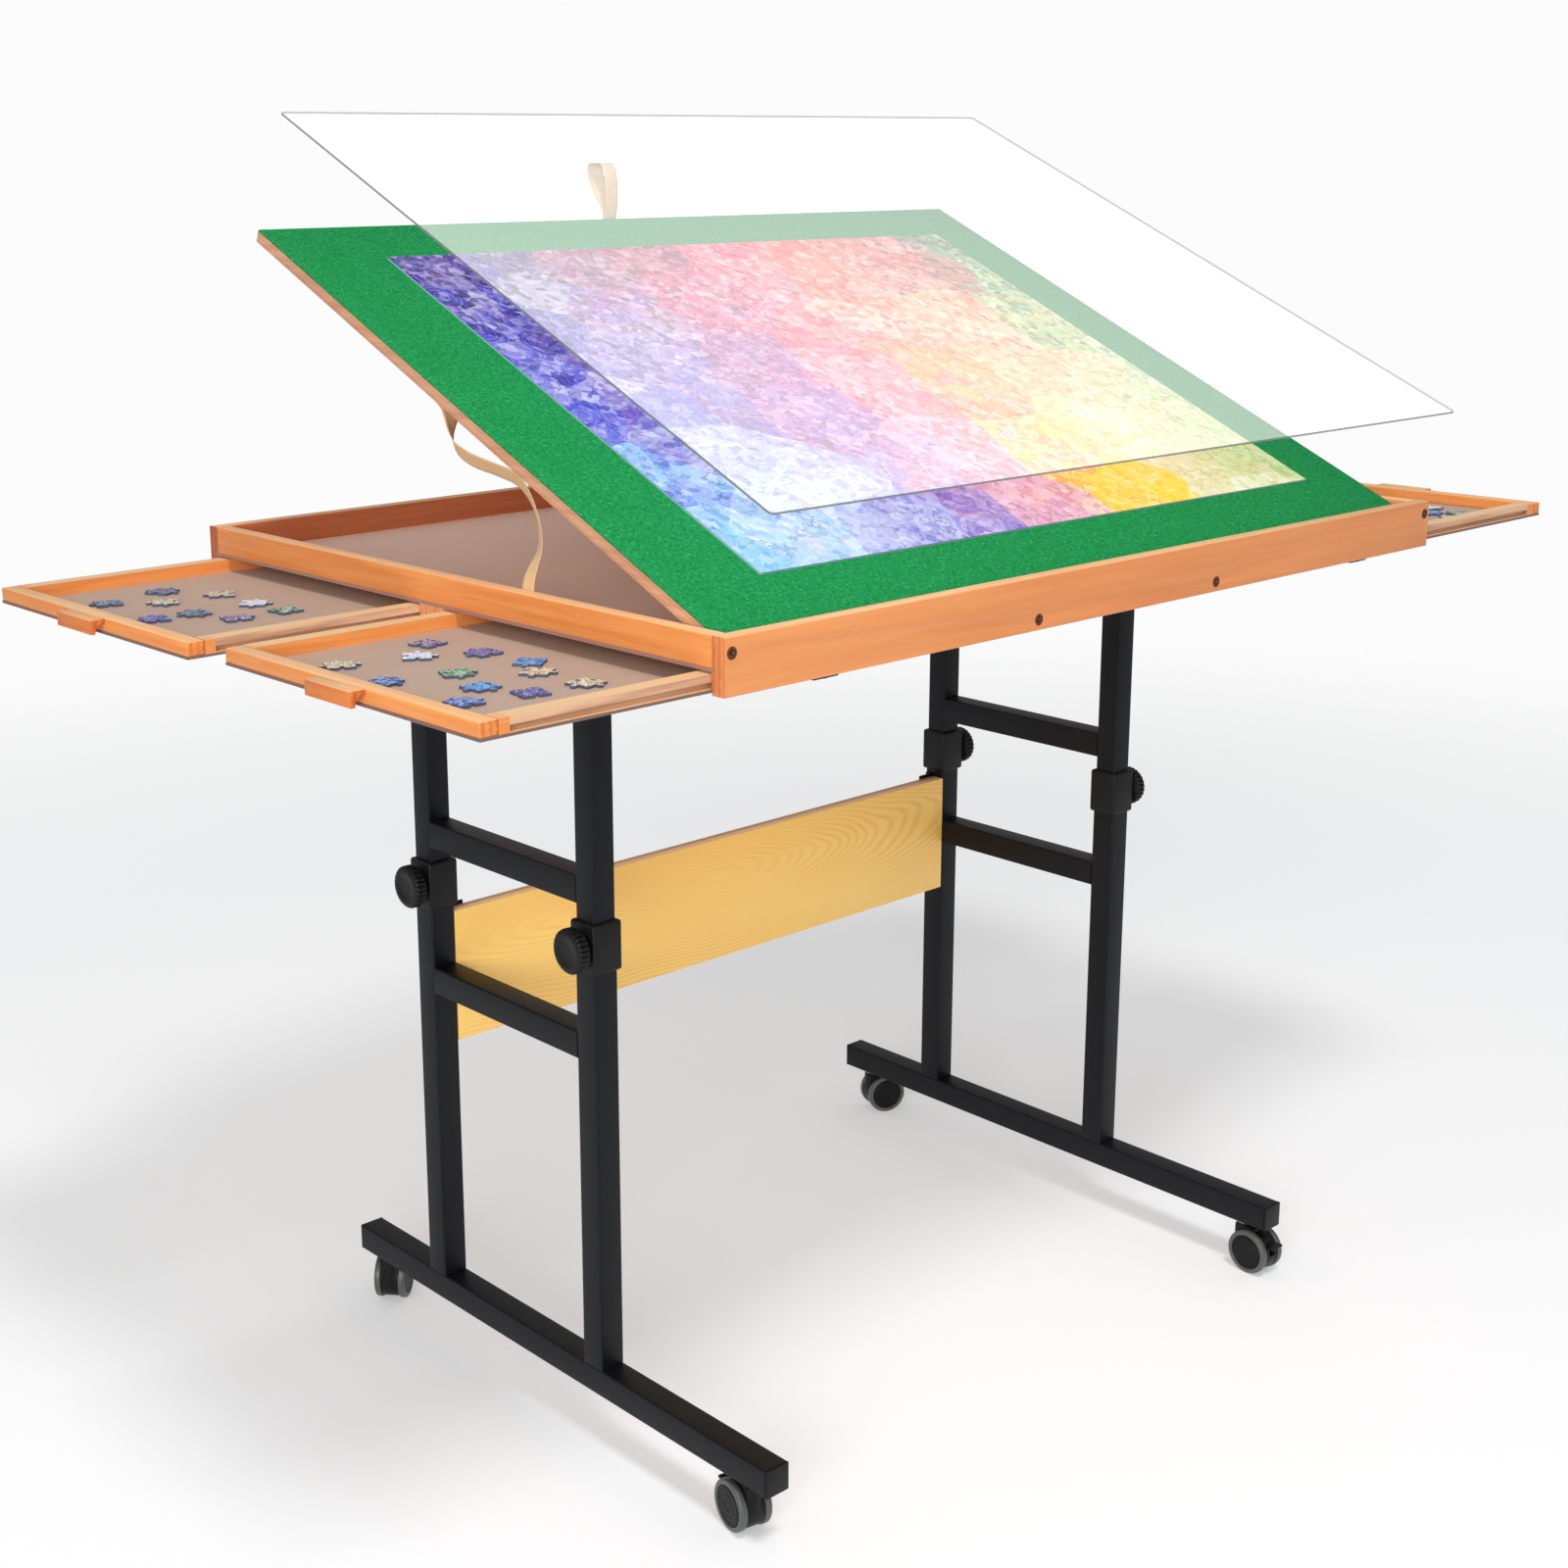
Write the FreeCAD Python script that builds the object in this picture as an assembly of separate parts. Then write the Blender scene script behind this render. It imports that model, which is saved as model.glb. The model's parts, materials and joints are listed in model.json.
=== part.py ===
"""Jigsaw puzzle table: a shallow box with a tilting felt board and four drawers,
on a pair of telescopic steel end frames with casters.

Millimetres, +Z up. The origin is on the floor under the middle of the table,
+X runs along the table to its right end and +Y to its back.
"""
import FreeCAD
import Part
import math
import os

os.makedirs("parts", exist_ok=True)

V = FreeCAD.Vector
X_AXIS, Y_AXIS, Z_AXIS = V(1, 0, 0), V(0, 1, 0), V(0, 0, 1)

# ---- Driving dimensions -----------------------------------------------------

# Box of the table
table_length = 890.0
table_depth = 682.4
rail_thickness = 13.2
end_rail_height = 42.2        # front and back rails
side_rail_height = 22.8       # left and right rails, which stand on the deck
rail_edge_bevel = 0.8
deck_thickness = 3.0
deck_groove = 4.0             # how far the deck is let into the front and back rails

# Dividers that carry and stop the drawers
divider_width = 32.0
batten_thickness = 13.2
batten_from_middle = 115.0    # centre line of each cross batten

# Drawers
drawer_gap = 1.0              # each side
drawer_top_gap = 1.7
drawer_end_gap = 0.5
drawer_wall = 15.0
drawer_frame_height = 10.8
drawer_bottom_thickness = 2.2
drawer_groove_height = 4.6
drawer_groove_depth = 4.5
drawer_groove_lift = 0.6      # groove's floor above the drawer's bottom panel
runner_clearance = 0.3
runner_set_back = 31.0        # runner's end behind the table's end
drawers_out = {"front_left": 196.0, "back_left": 208.0,
               "front_right": 236.0, "back_right": 222.0}

# Drawer pulls
pull_width = 56.0
pull_reach = 13.0
pull_drop = 11.8
pull_root_height = 3.3
pull_lip = 4.5
pull_round = 1.2
pull_cove_shift = 1.76        # middle of the finger cove's curve, out from the cove's middle

# Tilting board
board_tilt = 24.9             # degrees above flat
board_side_gap = 2.9
hinge_from_rail = 3.2
hinge_above_deck = 2.9
board_front = 4.0             # board's front edge behind the hinge axis
board_length = 642.5
board_above_deck = 1.35       # gap under the board when it lies flat
board_frame_height = 6.7
board_frame_width = 30.0
board_panel_thickness = 3.0
felt_thickness = 1.5

# Jigsaw puzzle on the board
puzzle_length = 697.4
puzzle_width = 511.1
puzzle_thickness = 2.0
puzzle_shift = 11.1           # to the right of the board's middle
puzzle_from_back = 63.0

# Clear cover, lifted off above the board
cover_length = 858.0
cover_width = 642.0
cover_thickness = 2.0
cover_from_hinge = 4.2
cover_lift = 101.4            # above the puzzle
cover_corner = 3.0

# Hinges under the board's front edge
hinge_from_middle = 250.0
hinge_leaf_width = 50.0
hinge_leaf_depth = 24.0
hinge_leaf_thickness = 1.0
hinge_barrel_radius = 2.5
hinge_pin_radius = 1.25
hinge_knuckle_gap = 0.3
hinge_neck = 3.2

# Folding wire prop under the board
prop_reach = 295.0            # pivot's distance from the hinge axis, along the board
prop_pivot_height = 1.8       # pivot above the hinge axis, when the board lies flat
prop_wire_radius = 2.0
prop_width = 95.0
prop_bend_radius = 8.0
prop_stub = 24.0
prop_bracket_width = 10.0
prop_bracket_depth = 14.0
prop_bracket_floor = 0.3      # above the board's underside
rack_width = 100.0
rack_margin = 10.0
rack_above_deck = 0.5
rack_notch_radius = 2.4
rack_notch_depth = 1.2
rack_tilts = (15.0, board_tilt, 34.9)

# Ribbons
ribbon_width = 15.0
ribbon_thickness = 1.2
ribbon_bend_radius = 10.0
ribbon_gap = 0.3
stay_hold = 212.8             # where each stay leaves its rail, behind the hinge axis
stay_slack = ((0.0, -16.0), (-1.0, 8.0), (-6.0, 38.0), (8.0, 72.0), (48.0, 86.0),
              (86.0, 97.0))   # its slack points, back from there and above the rail
stay_reach = 348.0            # its hold on the board, from the hinge axis
pull_ribbon_from_middle = -40.0
pull_ribbon_turn = 3.35       # above the felt, where it leaves the board's edge
pull_ribbon_bend_radius = 8.0
pull_loop = ((-2.2, 26.7), (1.3, 51.2), (24.8, 51.7), (1.2, 10.2),
             (1.3, 1.2))      # corners of the loop, back from that turn and above it

# Steel end frames
lower_tube = 25.0
tube_wall = 0.8
tube_clearance = 0.1          # between the upper tube and the inside of the lower one
tube_corner = 1.5             # bevel of the tube's edges
upper_wall = 1.0
leg_from_end = 103.7          # leg's centre line to the table's end
leg_spacing = 229.6           # front leg to back leg, centre to centre
legs_behind_middle = 43.9
foot_length = 576.2
caster_height = 49.4
lower_leg_length = 402.7
upper_leg_exposed = 247.2
upper_leg_insert = 330.0
lower_bar_above_foot = 281.1
upper_bar_height = 25.0
upper_bar_above_collar = 13.0
strap_thickness = 3.0
strap_width = 25.0
strap_from_edge = 6.2
strap_screw_from_edge = 9.6
plug_plate = 2.0
plug_depth = 10.0

# Collars and clamp knobs
collar_wall = 3.0
collar_height = 43.6
collar_lip = 2.5
collar_lip_gap = 0.15
collar_bevel = 1.2
collar_boss_radius = 8.0
collar_boss_height = 1.5
stud_radius = 4.0
stud_clearance = 0.06
stud_tip_gap = 0.1
knob_radius = 19.5
knob_thickness = 11.0
knob_hub_radius = 10.0
knob_hub_length = 3.5
knob_gap = 0.4
knob_edge_bevel = 1.6
knob_ribs = 26
knob_rib_height = 1.3

# Stretcher panel between the back legs
stretcher_height = 124.6
stretcher_thickness = 15.0
stretcher_above_foot = 229.5
bracket_thickness = 2.0
bracket_leaf = 20.0
bracket_height = 40.0
bracket_rise = 3.0            # bracket's top above the panel
bracket_screw_from_leg = 12.0
bracket_screw_length = 12.5

# Casters
caster_from_foot_end = 30.5
caster_trail = 13.0
wheel_radius = 22.0
wheel_width = 6.6
wheel_offset = 12.1           # middle of each wheel from the middle of the caster
wheel_gap = 0.3
tyre_depth = 4.8
tyre_bevel = 2.0
hub_recess = 0.6
axle_radius = 3.0
swivel_radius = 4.0
pin_clearance = 0.05
swivel_depth = 19.0
stem_flange_radius = 9.0
stem_flange_thickness = 2.0
stem_nut_width = 13.0         # across its flats
stem_nut_thickness = 5.0
hood_gap = 0.3
hood_radius = 20.8
hood_floor = 6.0
pedal_pivot_out = 11.0        # from the axle, towards the trailing side
pedal_pivot_up = 9.0
pedal_pin_radius = 1.5
pedal_arm_width = 7.0
pedal_arm_radius = 3.2
pedal_arm_below = 1.3         # arm's underside below the pivot
pedal_room_below = 9.6        # free height under the pivot, for pressing the pedal
pedal_length = 16.0
pedal_width = 15.4
pedal_thickness = 3.0
paddle_depth = 6.6
paddle_bevel = 1.2
pedal_slot_gap = 0.4
caster_directions = {"front_left": 79.0, "front_right": -93.5,
                     "back_left": 40.5, "back_right": -23.7}

rib_front = 6.0               # hood's rib, ahead of the swivel axis
rib_back = 4.0                # and behind the axle
rib_below_top = 1.4           # its top below the hood's

# Flats round the outlines that only look round
screw_flats = 10
hub_flats = 20
wheel_flats = 36
wire_flats = 10

# Screws
screw_head_radius = 3.0
screw_head_depth = 1.8
screw_radius = 1.6
screw_length = 28.0
strap_screw_length = 16.0

# ---- Levels and places worked out from them ---------------------------------

upper_tube = lower_tube - 2 * tube_wall - 2 * tube_clearance
foot_bottom = caster_height
foot_top = foot_bottom + lower_tube
lower_leg_top = foot_top + lower_leg_length
collar_top = lower_leg_top + collar_lip
collar_bottom = collar_top - collar_height
knob_level = (collar_top + collar_bottom) / 2
upper_leg_top = collar_top + upper_leg_exposed
upper_leg_bottom = collar_top - upper_leg_insert
box_bottom = upper_leg_top + strap_thickness
rail_top = box_bottom + end_rail_height
deck_top = rail_top - side_rail_height
deck_bottom = deck_top - deck_thickness

half_length = table_length / 2
half_depth = table_depth / 2
inner_half_length = half_length - rail_thickness
inner_half_depth = half_depth - rail_thickness
leg_x = half_length - leg_from_end
leg_y = {"front": legs_behind_middle - leg_spacing / 2,
         "back": legs_behind_middle + leg_spacing / 2}
sides = {"left": -1, "right": 1}
ends = {"front": -1, "back": 1}

drawer_top = deck_bottom - drawer_top_gap
drawer_frame_bottom = drawer_top - drawer_frame_height
drawer_length = half_length - batten_from_middle - batten_thickness / 2 - drawer_end_gap
drawer_width = inner_half_depth - divider_width / 2 - 2 * drawer_gap
drawer_y = (inner_half_depth + divider_width / 2) / 2
groove_bottom = drawer_frame_bottom + drawer_groove_lift
groove_top = groove_bottom + drawer_groove_height

hinge_y = -inner_half_depth + hinge_from_rail
hinge_z = deck_top + hinge_above_deck
board_back = board_front + board_length
board_half = inner_half_length - board_side_gap
board_under = board_above_deck - hinge_above_deck
panel_under = board_under + board_frame_height
panel_top = panel_under + board_panel_thickness
felt_top_level = panel_top + felt_thickness
puzzle_top = felt_top_level + puzzle_thickness

wheel_inner = wheel_offset - wheel_width / 2
wheel_outer = wheel_offset + wheel_width / 2
hood_top = caster_height - stem_flange_thickness - hood_gap


# ---- Helpers ----------------------------------------------------------------

def save(name, *solids):
    """Write one node, which is one solid or a group of separate ones."""
    shape = solids[0] if len(solids) == 1 else Part.makeCompound(list(solids))
    shape.exportStep(f"parts/{name}.step")


def block(x0, x1, y0, y1, z0, z1):
    return Part.makeBox(x1 - x0, y1 - y0, z1 - z0, V(x0, y0, z0))


def rod(radius, start, end):
    return Part.makeCylinder(radius, (end - start).Length, start, end - start)


def moved(shape, x=0.0, y=0.0, z=0.0):
    copy = shape.copy()
    copy.translate(V(x, y, z))
    return copy


def turned(shape, axis, degrees, centre=V(0, 0, 0)):
    copy = shape.copy()
    copy.rotate(centre, axis, degrees)
    return copy


def mirrored_x(shape):
    return shape.mirror(V(0, 0, 0), X_AXIS)


def eased(shape, radius, wanted):
    """Round the straight edges that the function wanted picks."""
    edges = [e for e in shape.Edges if wanted(e)]
    return shape.makeFillet(radius, edges)


def runs_along(edge, axis):
    direction = edge.Vertexes[-1].Point - edge.Vertexes[0].Point
    return direction.Length > 0 and abs(direction.normalize().dot(axis)) > 0.999


def bar(width, depth, length, corner):
    """Upright bar on the XY plane, with bevelled vertical corners."""
    body = block(-width / 2, width / 2, -depth / 2, depth / 2, 0, length)
    return bevelled(body, corner, lambda e: runs_along(e, Z_AXIS))


def tube(width, depth, length, wall, corner):
    """Upright rectangular tube, open at both ends."""
    half_width, half_depth = width / 2 - wall, depth / 2 - wall
    bore = block(-half_width, half_width, -half_depth, half_depth, 0, length)
    return bar(width, depth, length, corner).cut(bore)


def bevelled(shape, size, wanted):
    """Bevel the edges that the function wanted picks."""
    edges = [e for e in shape.Edges if wanted(e)]
    return shape.makeChamfer(size, edges)


def ngon(radius, flats):
    flats = round(flats)
    return [(radius * math.cos(2 * math.pi * i / flats),
             radius * math.sin(2 * math.pi * i / flats)) for i in range(flats)]


def prism(outlines, levels):
    """Solid through outlines of (x, y) points, one at each level, joined by flat faces."""
    wires = []
    for outline, level in zip(outlines, levels):
        points = [V(x, y, level) for x, y in outline]
        wires.append(Part.makePolygon(points + points[:1]))
    return Part.makeLoft(wires, True, True)


def laid_along_y(shape):
    """Turn an upright shape so that its top points to the back."""
    return turned(shape, X_AXIS, -90)


def rounded_path(points, radius):
    """Straight runs through the points, joined by tangent arcs."""
    edges = []
    start = points[0]
    for before, corner, after in zip(points, points[1:], points[2:]):
        back = (before - corner).normalize()
        ahead = (after - corner).normalize()
        half_turn = (math.pi - back.getAngle(ahead)) / 2
        reach = radius * math.tan(half_turn)
        first = corner + back * reach
        last = corner + ahead * reach
        bisector = (back + ahead).normalize()
        middle = corner + bisector * (radius / math.cos(half_turn) - radius)
        edges.append(Part.LineSegment(start, first).toShape())
        edges.append(Part.Arc(first, middle, last).toShape())
        start = last
    edges.append(Part.LineSegment(start, points[-1]).toShape())
    return Part.Wire(edges)


def swept(profile, path):
    return path.makePipe(Part.Face(profile))


def cut_corners(points, size):
    """Points of the same path with each corner cut off in two steps."""
    path = [points[0]]
    for before, corner, after in zip(points, points[1:], points[2:]):
        back, ahead = (before - corner).normalize(), (after - corner).normalize()
        first, last = corner + back * size, corner + ahead * size
        middle = corner + (back + ahead) * (size / 4)
        path.extend((first, middle, last))
    return path + [points[-1]]


def wire_rod(points, wire_radius, bend_radius):
    """Bent wire through points of a plane that holds the X axis, mitred at each bend."""
    path = cut_corners(points, bend_radius)
    tangents = [(b - a).normalize() for a, b in zip(path, path[1:])]
    level = path[0].sub(path[len(path) // 2])
    normal = (level - X_AXIS * level.dot(X_AXIS)).cross(X_AXIS).normalize()
    wires = []
    for i, point in enumerate(path):
        before, after = tangents[max(i - 1, 0)], tangents[min(i, len(tangents) - 1)]
        along = (before + after).normalize()
        across = normal.cross(along)
        stretch = 1 / along.dot(after)
        ring = [point + across * (x * stretch) + normal * y
                for x, y in ngon(wire_radius, wire_flats)]
        wires.append(Part.makePolygon(ring + ring[:1]))
    return Part.makeLoft(wires, True, True)


def strip(points, x0, x1, thickness, bend_radius):
    """Ribbon from x0 to x1 whose edge follows points of the YZ plane."""
    start, direction = points[0], (points[1] - points[0]).normalize()
    across = X_AXIS.cross(direction) * (thickness / 2)
    low, high = start + X_AXIS * x0, start + X_AXIS * x1
    corners = [low - across, high - across, high + across, low + across]
    outline = Part.makePolygon(corners + corners[:1])
    return swept(outline, rounded_path(points, bend_radius))


def on_board(x0, x1, s0, s1, n0, n1):
    """Block on the board as it lies flat: s back from the hinge axis, n above it."""
    return block(x0, x1, hinge_y + s0, hinge_y + s1, hinge_z + n0, hinge_z + n1)


def tilted(shape):
    return turned(shape, X_AXIS, board_tilt, V(0, hinge_y, hinge_z))


def board_point(s, n):
    """Place in the YZ plane of a point of the tilted board."""
    angle = math.radians(board_tilt)
    return V(0, hinge_y + s * math.cos(angle) - n * math.sin(angle),
             hinge_z + s * math.sin(angle) + n * math.cos(angle))


# ---- Screws -----------------------------------------------------------------

def screw(length):
    """Countersunk screw pointing up, its head's face at z = 0."""
    head, shank = ngon(screw_head_radius, screw_flats), ngon(screw_radius, screw_flats)
    return prism([head, shank, shank], [0, screw_head_depth, length])


def rail_screw_places():
    """Corner screws go into the side rails, lower ones into the cross battens."""
    corner_x = half_length - rail_thickness / 2
    corner_z = deck_top + side_rail_height / 2
    batten_z = (deck_bottom + box_bottom) / 2 + runner_clearance
    for x, z in ((corner_x, corner_z), (batten_from_middle, batten_z)):
        yield -x, z
        yield x, z


def rail_screws():
    screws = []
    for x, z in rail_screw_places():
        for end in ends.values():
            placed = turned(screw(screw_length), X_AXIS, 90 * end)
            screws.append(moved(placed, x, end * half_depth, z))
    return screws


def strap_screws():
    reach = half_depth - strap_screw_from_edge
    return [moved(screw(strap_screw_length), side * leg_x, y, upper_leg_top)
            for side in sides.values() for y in (-reach, 0, reach)]


# ---- Steel end frames -------------------------------------------------------

def stud_bores(radius):
    """Cutters for the clamp studs, from outside each end frame into its tubes."""
    bores = []
    for side in sides.values():
        for y in leg_y.values():
            inner = V(side * (leg_x + upper_tube / 2), y, knob_level)
            outer = inner + X_AXIS * side * lower_tube
            bores.append(rod(radius, inner, outer))
    return bores


def lower_frame(side):
    """Foot, two lower legs and their crossbar, welded together."""
    tube_length = foot_length - 2 * plug_plate
    foot = laid_along_y(tube(lower_tube, lower_tube, tube_length, tube_wall, tube_corner))
    foot = moved(foot, 0, -tube_length / 2, foot_bottom + lower_tube / 2)
    leg = tube(lower_tube, lower_tube, lower_leg_length, tube_wall, tube_corner)
    bar_length = leg_spacing - lower_tube
    crossbar = laid_along_y(tube(lower_tube, lower_tube, bar_length, tube_wall, tube_corner))
    bar_level = foot_top + lower_bar_above_foot + lower_tube / 2
    crossbar = moved(crossbar, 0, leg_y["front"] + lower_tube / 2, bar_level)
    legs = [moved(leg, 0, y, foot_top) for y in leg_y.values()]
    frame = foot.fuse(legs + [crossbar]).removeSplitter()
    frame = moved(frame, side * leg_x)
    stems = [stem_bore(place) for place in caster_places().values()]
    return frame.cut(stems + stud_bores(stud_radius + stud_clearance))


def upper_frame(side):
    """Two upper legs, their crossbar and the flat strap under the table."""
    leg_length = upper_leg_top - upper_leg_bottom
    leg = tube(upper_tube, upper_tube, leg_length, upper_wall, tube_corner - tube_wall)
    bar_length = leg_spacing - upper_tube
    crossbar = laid_along_y(tube(upper_tube, upper_bar_height, bar_length,
                                 upper_wall, tube_corner - tube_wall))
    bar_level = collar_top + upper_bar_above_collar + upper_bar_height / 2
    crossbar = moved(crossbar, 0, leg_y["front"] + upper_tube / 2, bar_level)
    reach = half_depth - strap_from_edge
    strap = block(-strap_width / 2, strap_width / 2, -reach, reach, upper_leg_top, box_bottom)
    legs = [moved(leg, 0, y, upper_leg_bottom) for y in leg_y.values()]
    frame = strap.fuse(legs + [crossbar]).removeSplitter()
    return moved(frame, side * leg_x).cut(strap_screws())


def collar():
    """Sleeve that caps a lower leg and carries its clamp knob, which points along +X."""
    outside = lower_tube + 2 * collar_wall
    body = block(-outside / 2, outside / 2, -outside / 2, outside / 2, 0, collar_height)
    body = bevelled(body, collar_bevel, lambda e: e.CenterOfMass.z > collar_height / 4)
    outline = ngon(collar_boss_radius, hub_flats)
    boss = prism([outline, outline], [0, outside / 2 + collar_boss_height])
    boss = moved(turned(boss, Y_AXIS, 90), 0, 0, collar_height / 2)
    seat = bar(lower_tube, lower_tube, collar_height - collar_lip, tube_corner)
    half_mouth = upper_tube / 2 + collar_lip_gap
    mouth = block(-half_mouth, half_mouth, -half_mouth, half_mouth, 0, collar_height)
    return body.fuse(boss).removeSplitter().cut([seat, mouth])


def collars():
    right = collar()
    shapes = {1: right, -1: turned(right, Z_AXIS, 180)}
    placed = [moved(shapes[side], side * leg_x, y, collar_bottom)
              for side in sides.values() for y in leg_y.values()]
    bores = stud_bores(stud_radius + stud_clearance)
    return [piece.cut(bores) for piece in placed]


def foot_plug(side, end):
    """Moulded cap pressed into one end of a foot."""
    plate = bar(lower_tube, lower_tube, plug_plate, tube_corner)
    inside = lower_tube - 2 * tube_wall
    spigot = block(-inside / 2, inside / 2, -inside / 2, inside / 2, 0, plug_depth)
    plug = laid_along_y(plate.fuse(moved(spigot, 0, 0, -plug_depth)))
    plug = turned(plug, Z_AXIS, 90 - 90 * end)
    reach = foot_length / 2 - plug_plate
    return moved(plug, side * leg_x, end * reach, foot_bottom + lower_tube / 2)


def ribbed_outline(radius):
    """Points round a knob of this radius, in and out once for each rib."""
    points = []
    for i in range(2 * knob_ribs):
        angle = math.pi * i / knob_ribs
        reach = radius - knob_rib_height * (i % 2)
        points.append((reach * math.cos(angle), reach * math.sin(angle)))
    return points


def knob(side, y):
    """Ribbed clamp knob and its threaded stud, turning about X."""
    outer = ribbed_outline(knob_radius)
    inner = ribbed_outline(knob_radius - knob_edge_bevel)
    head = prism([inner, outer, outer, inner],
                 [0, knob_edge_bevel, knob_thickness - knob_edge_bevel, knob_thickness])
    hub = prism([ngon(knob_hub_radius, hub_flats)] * 2, [-knob_hub_length, 0])
    outer_face = lower_tube / 2 + collar_wall + collar_boss_height + knob_gap
    base = outer_face + knob_hub_length
    tip = upper_tube / 2 + stud_tip_gap
    stud = Part.makeCylinder(stud_radius, base + knob_thickness / 2 - tip, V(0, 0, tip - base))
    head = head.fuse(hub).cut(stud)
    solids = [turned(s, Y_AXIS, 90 * side) for s in (head, stud)]
    return [moved(s, side * (leg_x + base), y, knob_level) for s in solids]


def stretcher():
    """Panel between the back legs, its face flush with theirs."""
    front = leg_y["back"] - lower_tube / 2
    reach = leg_x - lower_tube / 2
    bottom = foot_top + stretcher_above_foot
    panel = block(-reach, reach, front, front + stretcher_thickness,
                  bottom, bottom + stretcher_height)
    brackets, screws = [], []
    back = front + stretcher_thickness
    top = bottom + stretcher_height + bracket_rise
    leg_back = front + lower_tube - tube_corner
    for side in sides.values():
        for high in (top, bottom + bracket_height):
            low = high - bracket_height
            on_leg = block(reach - bracket_thickness, reach, back, leg_back, low, high)
            on_panel = block(reach - bracket_leaf, reach, back, back + bracket_thickness,
                             low, high)
            bracket = on_leg.fuse(on_panel).removeSplitter()
            fastener = turned(screw(bracket_screw_length), X_AXIS, 90)
            fastener = moved(fastener, reach - bracket_screw_from_leg,
                             back + bracket_thickness, (low + high) / 2)
            if side < 0:
                bracket, fastener = mirrored_x(bracket), mirrored_x(fastener)
            brackets.append(bracket.cut(fastener))
            panel = panel.cut(fastener)
            screws.append(fastener)
    return panel, brackets, screws


# ---- Casters ----------------------------------------------------------------

def caster_places():
    reach = foot_length / 2 - caster_from_foot_end
    return {f"{end}_{side}": V(sides[side] * leg_x, ends[end] * reach, 0)
            for end in ends for side in sides}


def stem_bore(place):
    start = place + Z_AXIS * foot_bottom
    return rod(swivel_radius, start, start + Z_AXIS * 2 * tube_wall)


def caster_stem(place):
    """Fixed stem: swivel pin below the foot, flange under it and nut inside it."""
    floor = foot_bottom + tube_wall
    pin = rod(swivel_radius, V(0, 0, hood_top - swivel_depth), V(0, 0, floor))
    flange = prism([ngon(stem_flange_radius, hub_flats)] * 2,
                   [foot_bottom - stem_flange_thickness, foot_bottom])
    hexagon = ngon(stem_nut_width / math.sqrt(3), 6)
    nut = prism([hexagon, hexagon], [floor, floor + stem_nut_thickness])
    return moved(pin.fuse([flange, nut]).removeSplitter(), place.x, place.y)


def disc(radius, flats, centre, half_width):
    """Many-sided disc about an axle along Y."""
    outline = ngon(radius, flats)
    flat = prism([outline, outline], [-half_width, half_width])
    return moved(laid_along_y(flat), centre.x, centre.y, centre.z)


def caster_hood(with_pedal):
    """Moulded body between the two wheels, trailing along +X from the swivel axis."""
    half = wheel_inner - wheel_gap
    axle = V(caster_trail, 0, wheel_radius)
    side = Y_AXIS * half
    web = disc(hood_radius, wheel_flats, axle, half)
    boss = prism([ngon(half, hub_flats)] * 2, [wheel_radius, hood_top])
    rib = block(-rib_front, caster_trail + rib_back, -half, half,
                wheel_radius, hood_top - rib_below_top)
    hood = web.fuse([boss, rib]).removeSplitter()
    below = block(-hood_top, 2 * hood_top, -half, half, 0, hood_floor)
    axle_bore = rod(axle_radius + pin_clearance, axle - side, axle + side)
    swivel_bore = rod(swivel_radius + pin_clearance,
                      V(0, 0, hood_top - swivel_depth - hood_gap), V(0, 0, hood_top))
    cuts = [below, axle_bore, swivel_bore]
    if with_pedal:
        cuts.extend(pedal_room())
    return hood.cut(cuts)


def pedal_pivot():
    return V(caster_trail + pedal_pivot_out, 0, wheel_radius + pedal_pivot_up)


def pedal_room():
    """Slot in the hood for the pedal's arm, and the bore of its pin."""
    pivot = pedal_pivot()
    half = Y_AXIS * (pedal_arm_width / 2 + pedal_slot_gap)
    round_room = rod(pedal_arm_radius + pedal_slot_gap, pivot - half, pivot + half)
    out = block(pivot.x, pivot.x + 2 * hood_radius, -half.y, half.y,
                pivot.z - pedal_room_below, pivot.z + pedal_arm_radius + pedal_slot_gap)
    pin = Y_AXIS * wheel_inner
    return [round_room, out, rod(pedal_pin_radius + pin_clearance, pivot - pin, pivot + pin)]


def caster_pedal():
    """Brake lever: an arm on a cross pin, with a wide paddle at its end."""
    pivot = pedal_pivot()
    half = Y_AXIS * (pedal_arm_width / 2)
    eye = rod(pedal_arm_radius, pivot - half, pivot + half)
    arm = block(pivot.x, pivot.x + pedal_length - pedal_thickness, -half.y, half.y,
                pivot.z - pedal_arm_below, pivot.z + pedal_arm_radius)
    tip = pivot.x + pedal_length
    top = pivot.z + pedal_arm_radius
    paddle = block(tip - paddle_depth, tip, -pedal_width / 2, pedal_width / 2,
                   top - pedal_thickness, top)
    paddle = bevelled(paddle, paddle_bevel, lambda e: runs_along(e, Y_AXIS))
    pin_half = Y_AXIS * (wheel_inner - wheel_gap - pin_clearance)
    pin = rod(pedal_pin_radius, pivot - pin_half, pivot + pin_half)
    return eye.fuse([arm, paddle, pin]).removeSplitter()


def caster_wheels():
    """Two dished hubs on one axle, all in one piece."""
    seat = wheel_radius - tyre_depth
    face = wheel_outer - hub_recess
    hub = disc(seat, wheel_flats, V(0, (wheel_inner + face) / 2, 0), (face - wheel_inner) / 2)
    axle = rod(axle_radius, V(0, -face, 0), V(0, face, 0))
    wheels = axle.fuse([hub, turned(hub, Z_AXIS, 180)]).removeSplitter()
    return moved(wheels, caster_trail, 0, wheel_radius)


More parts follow.
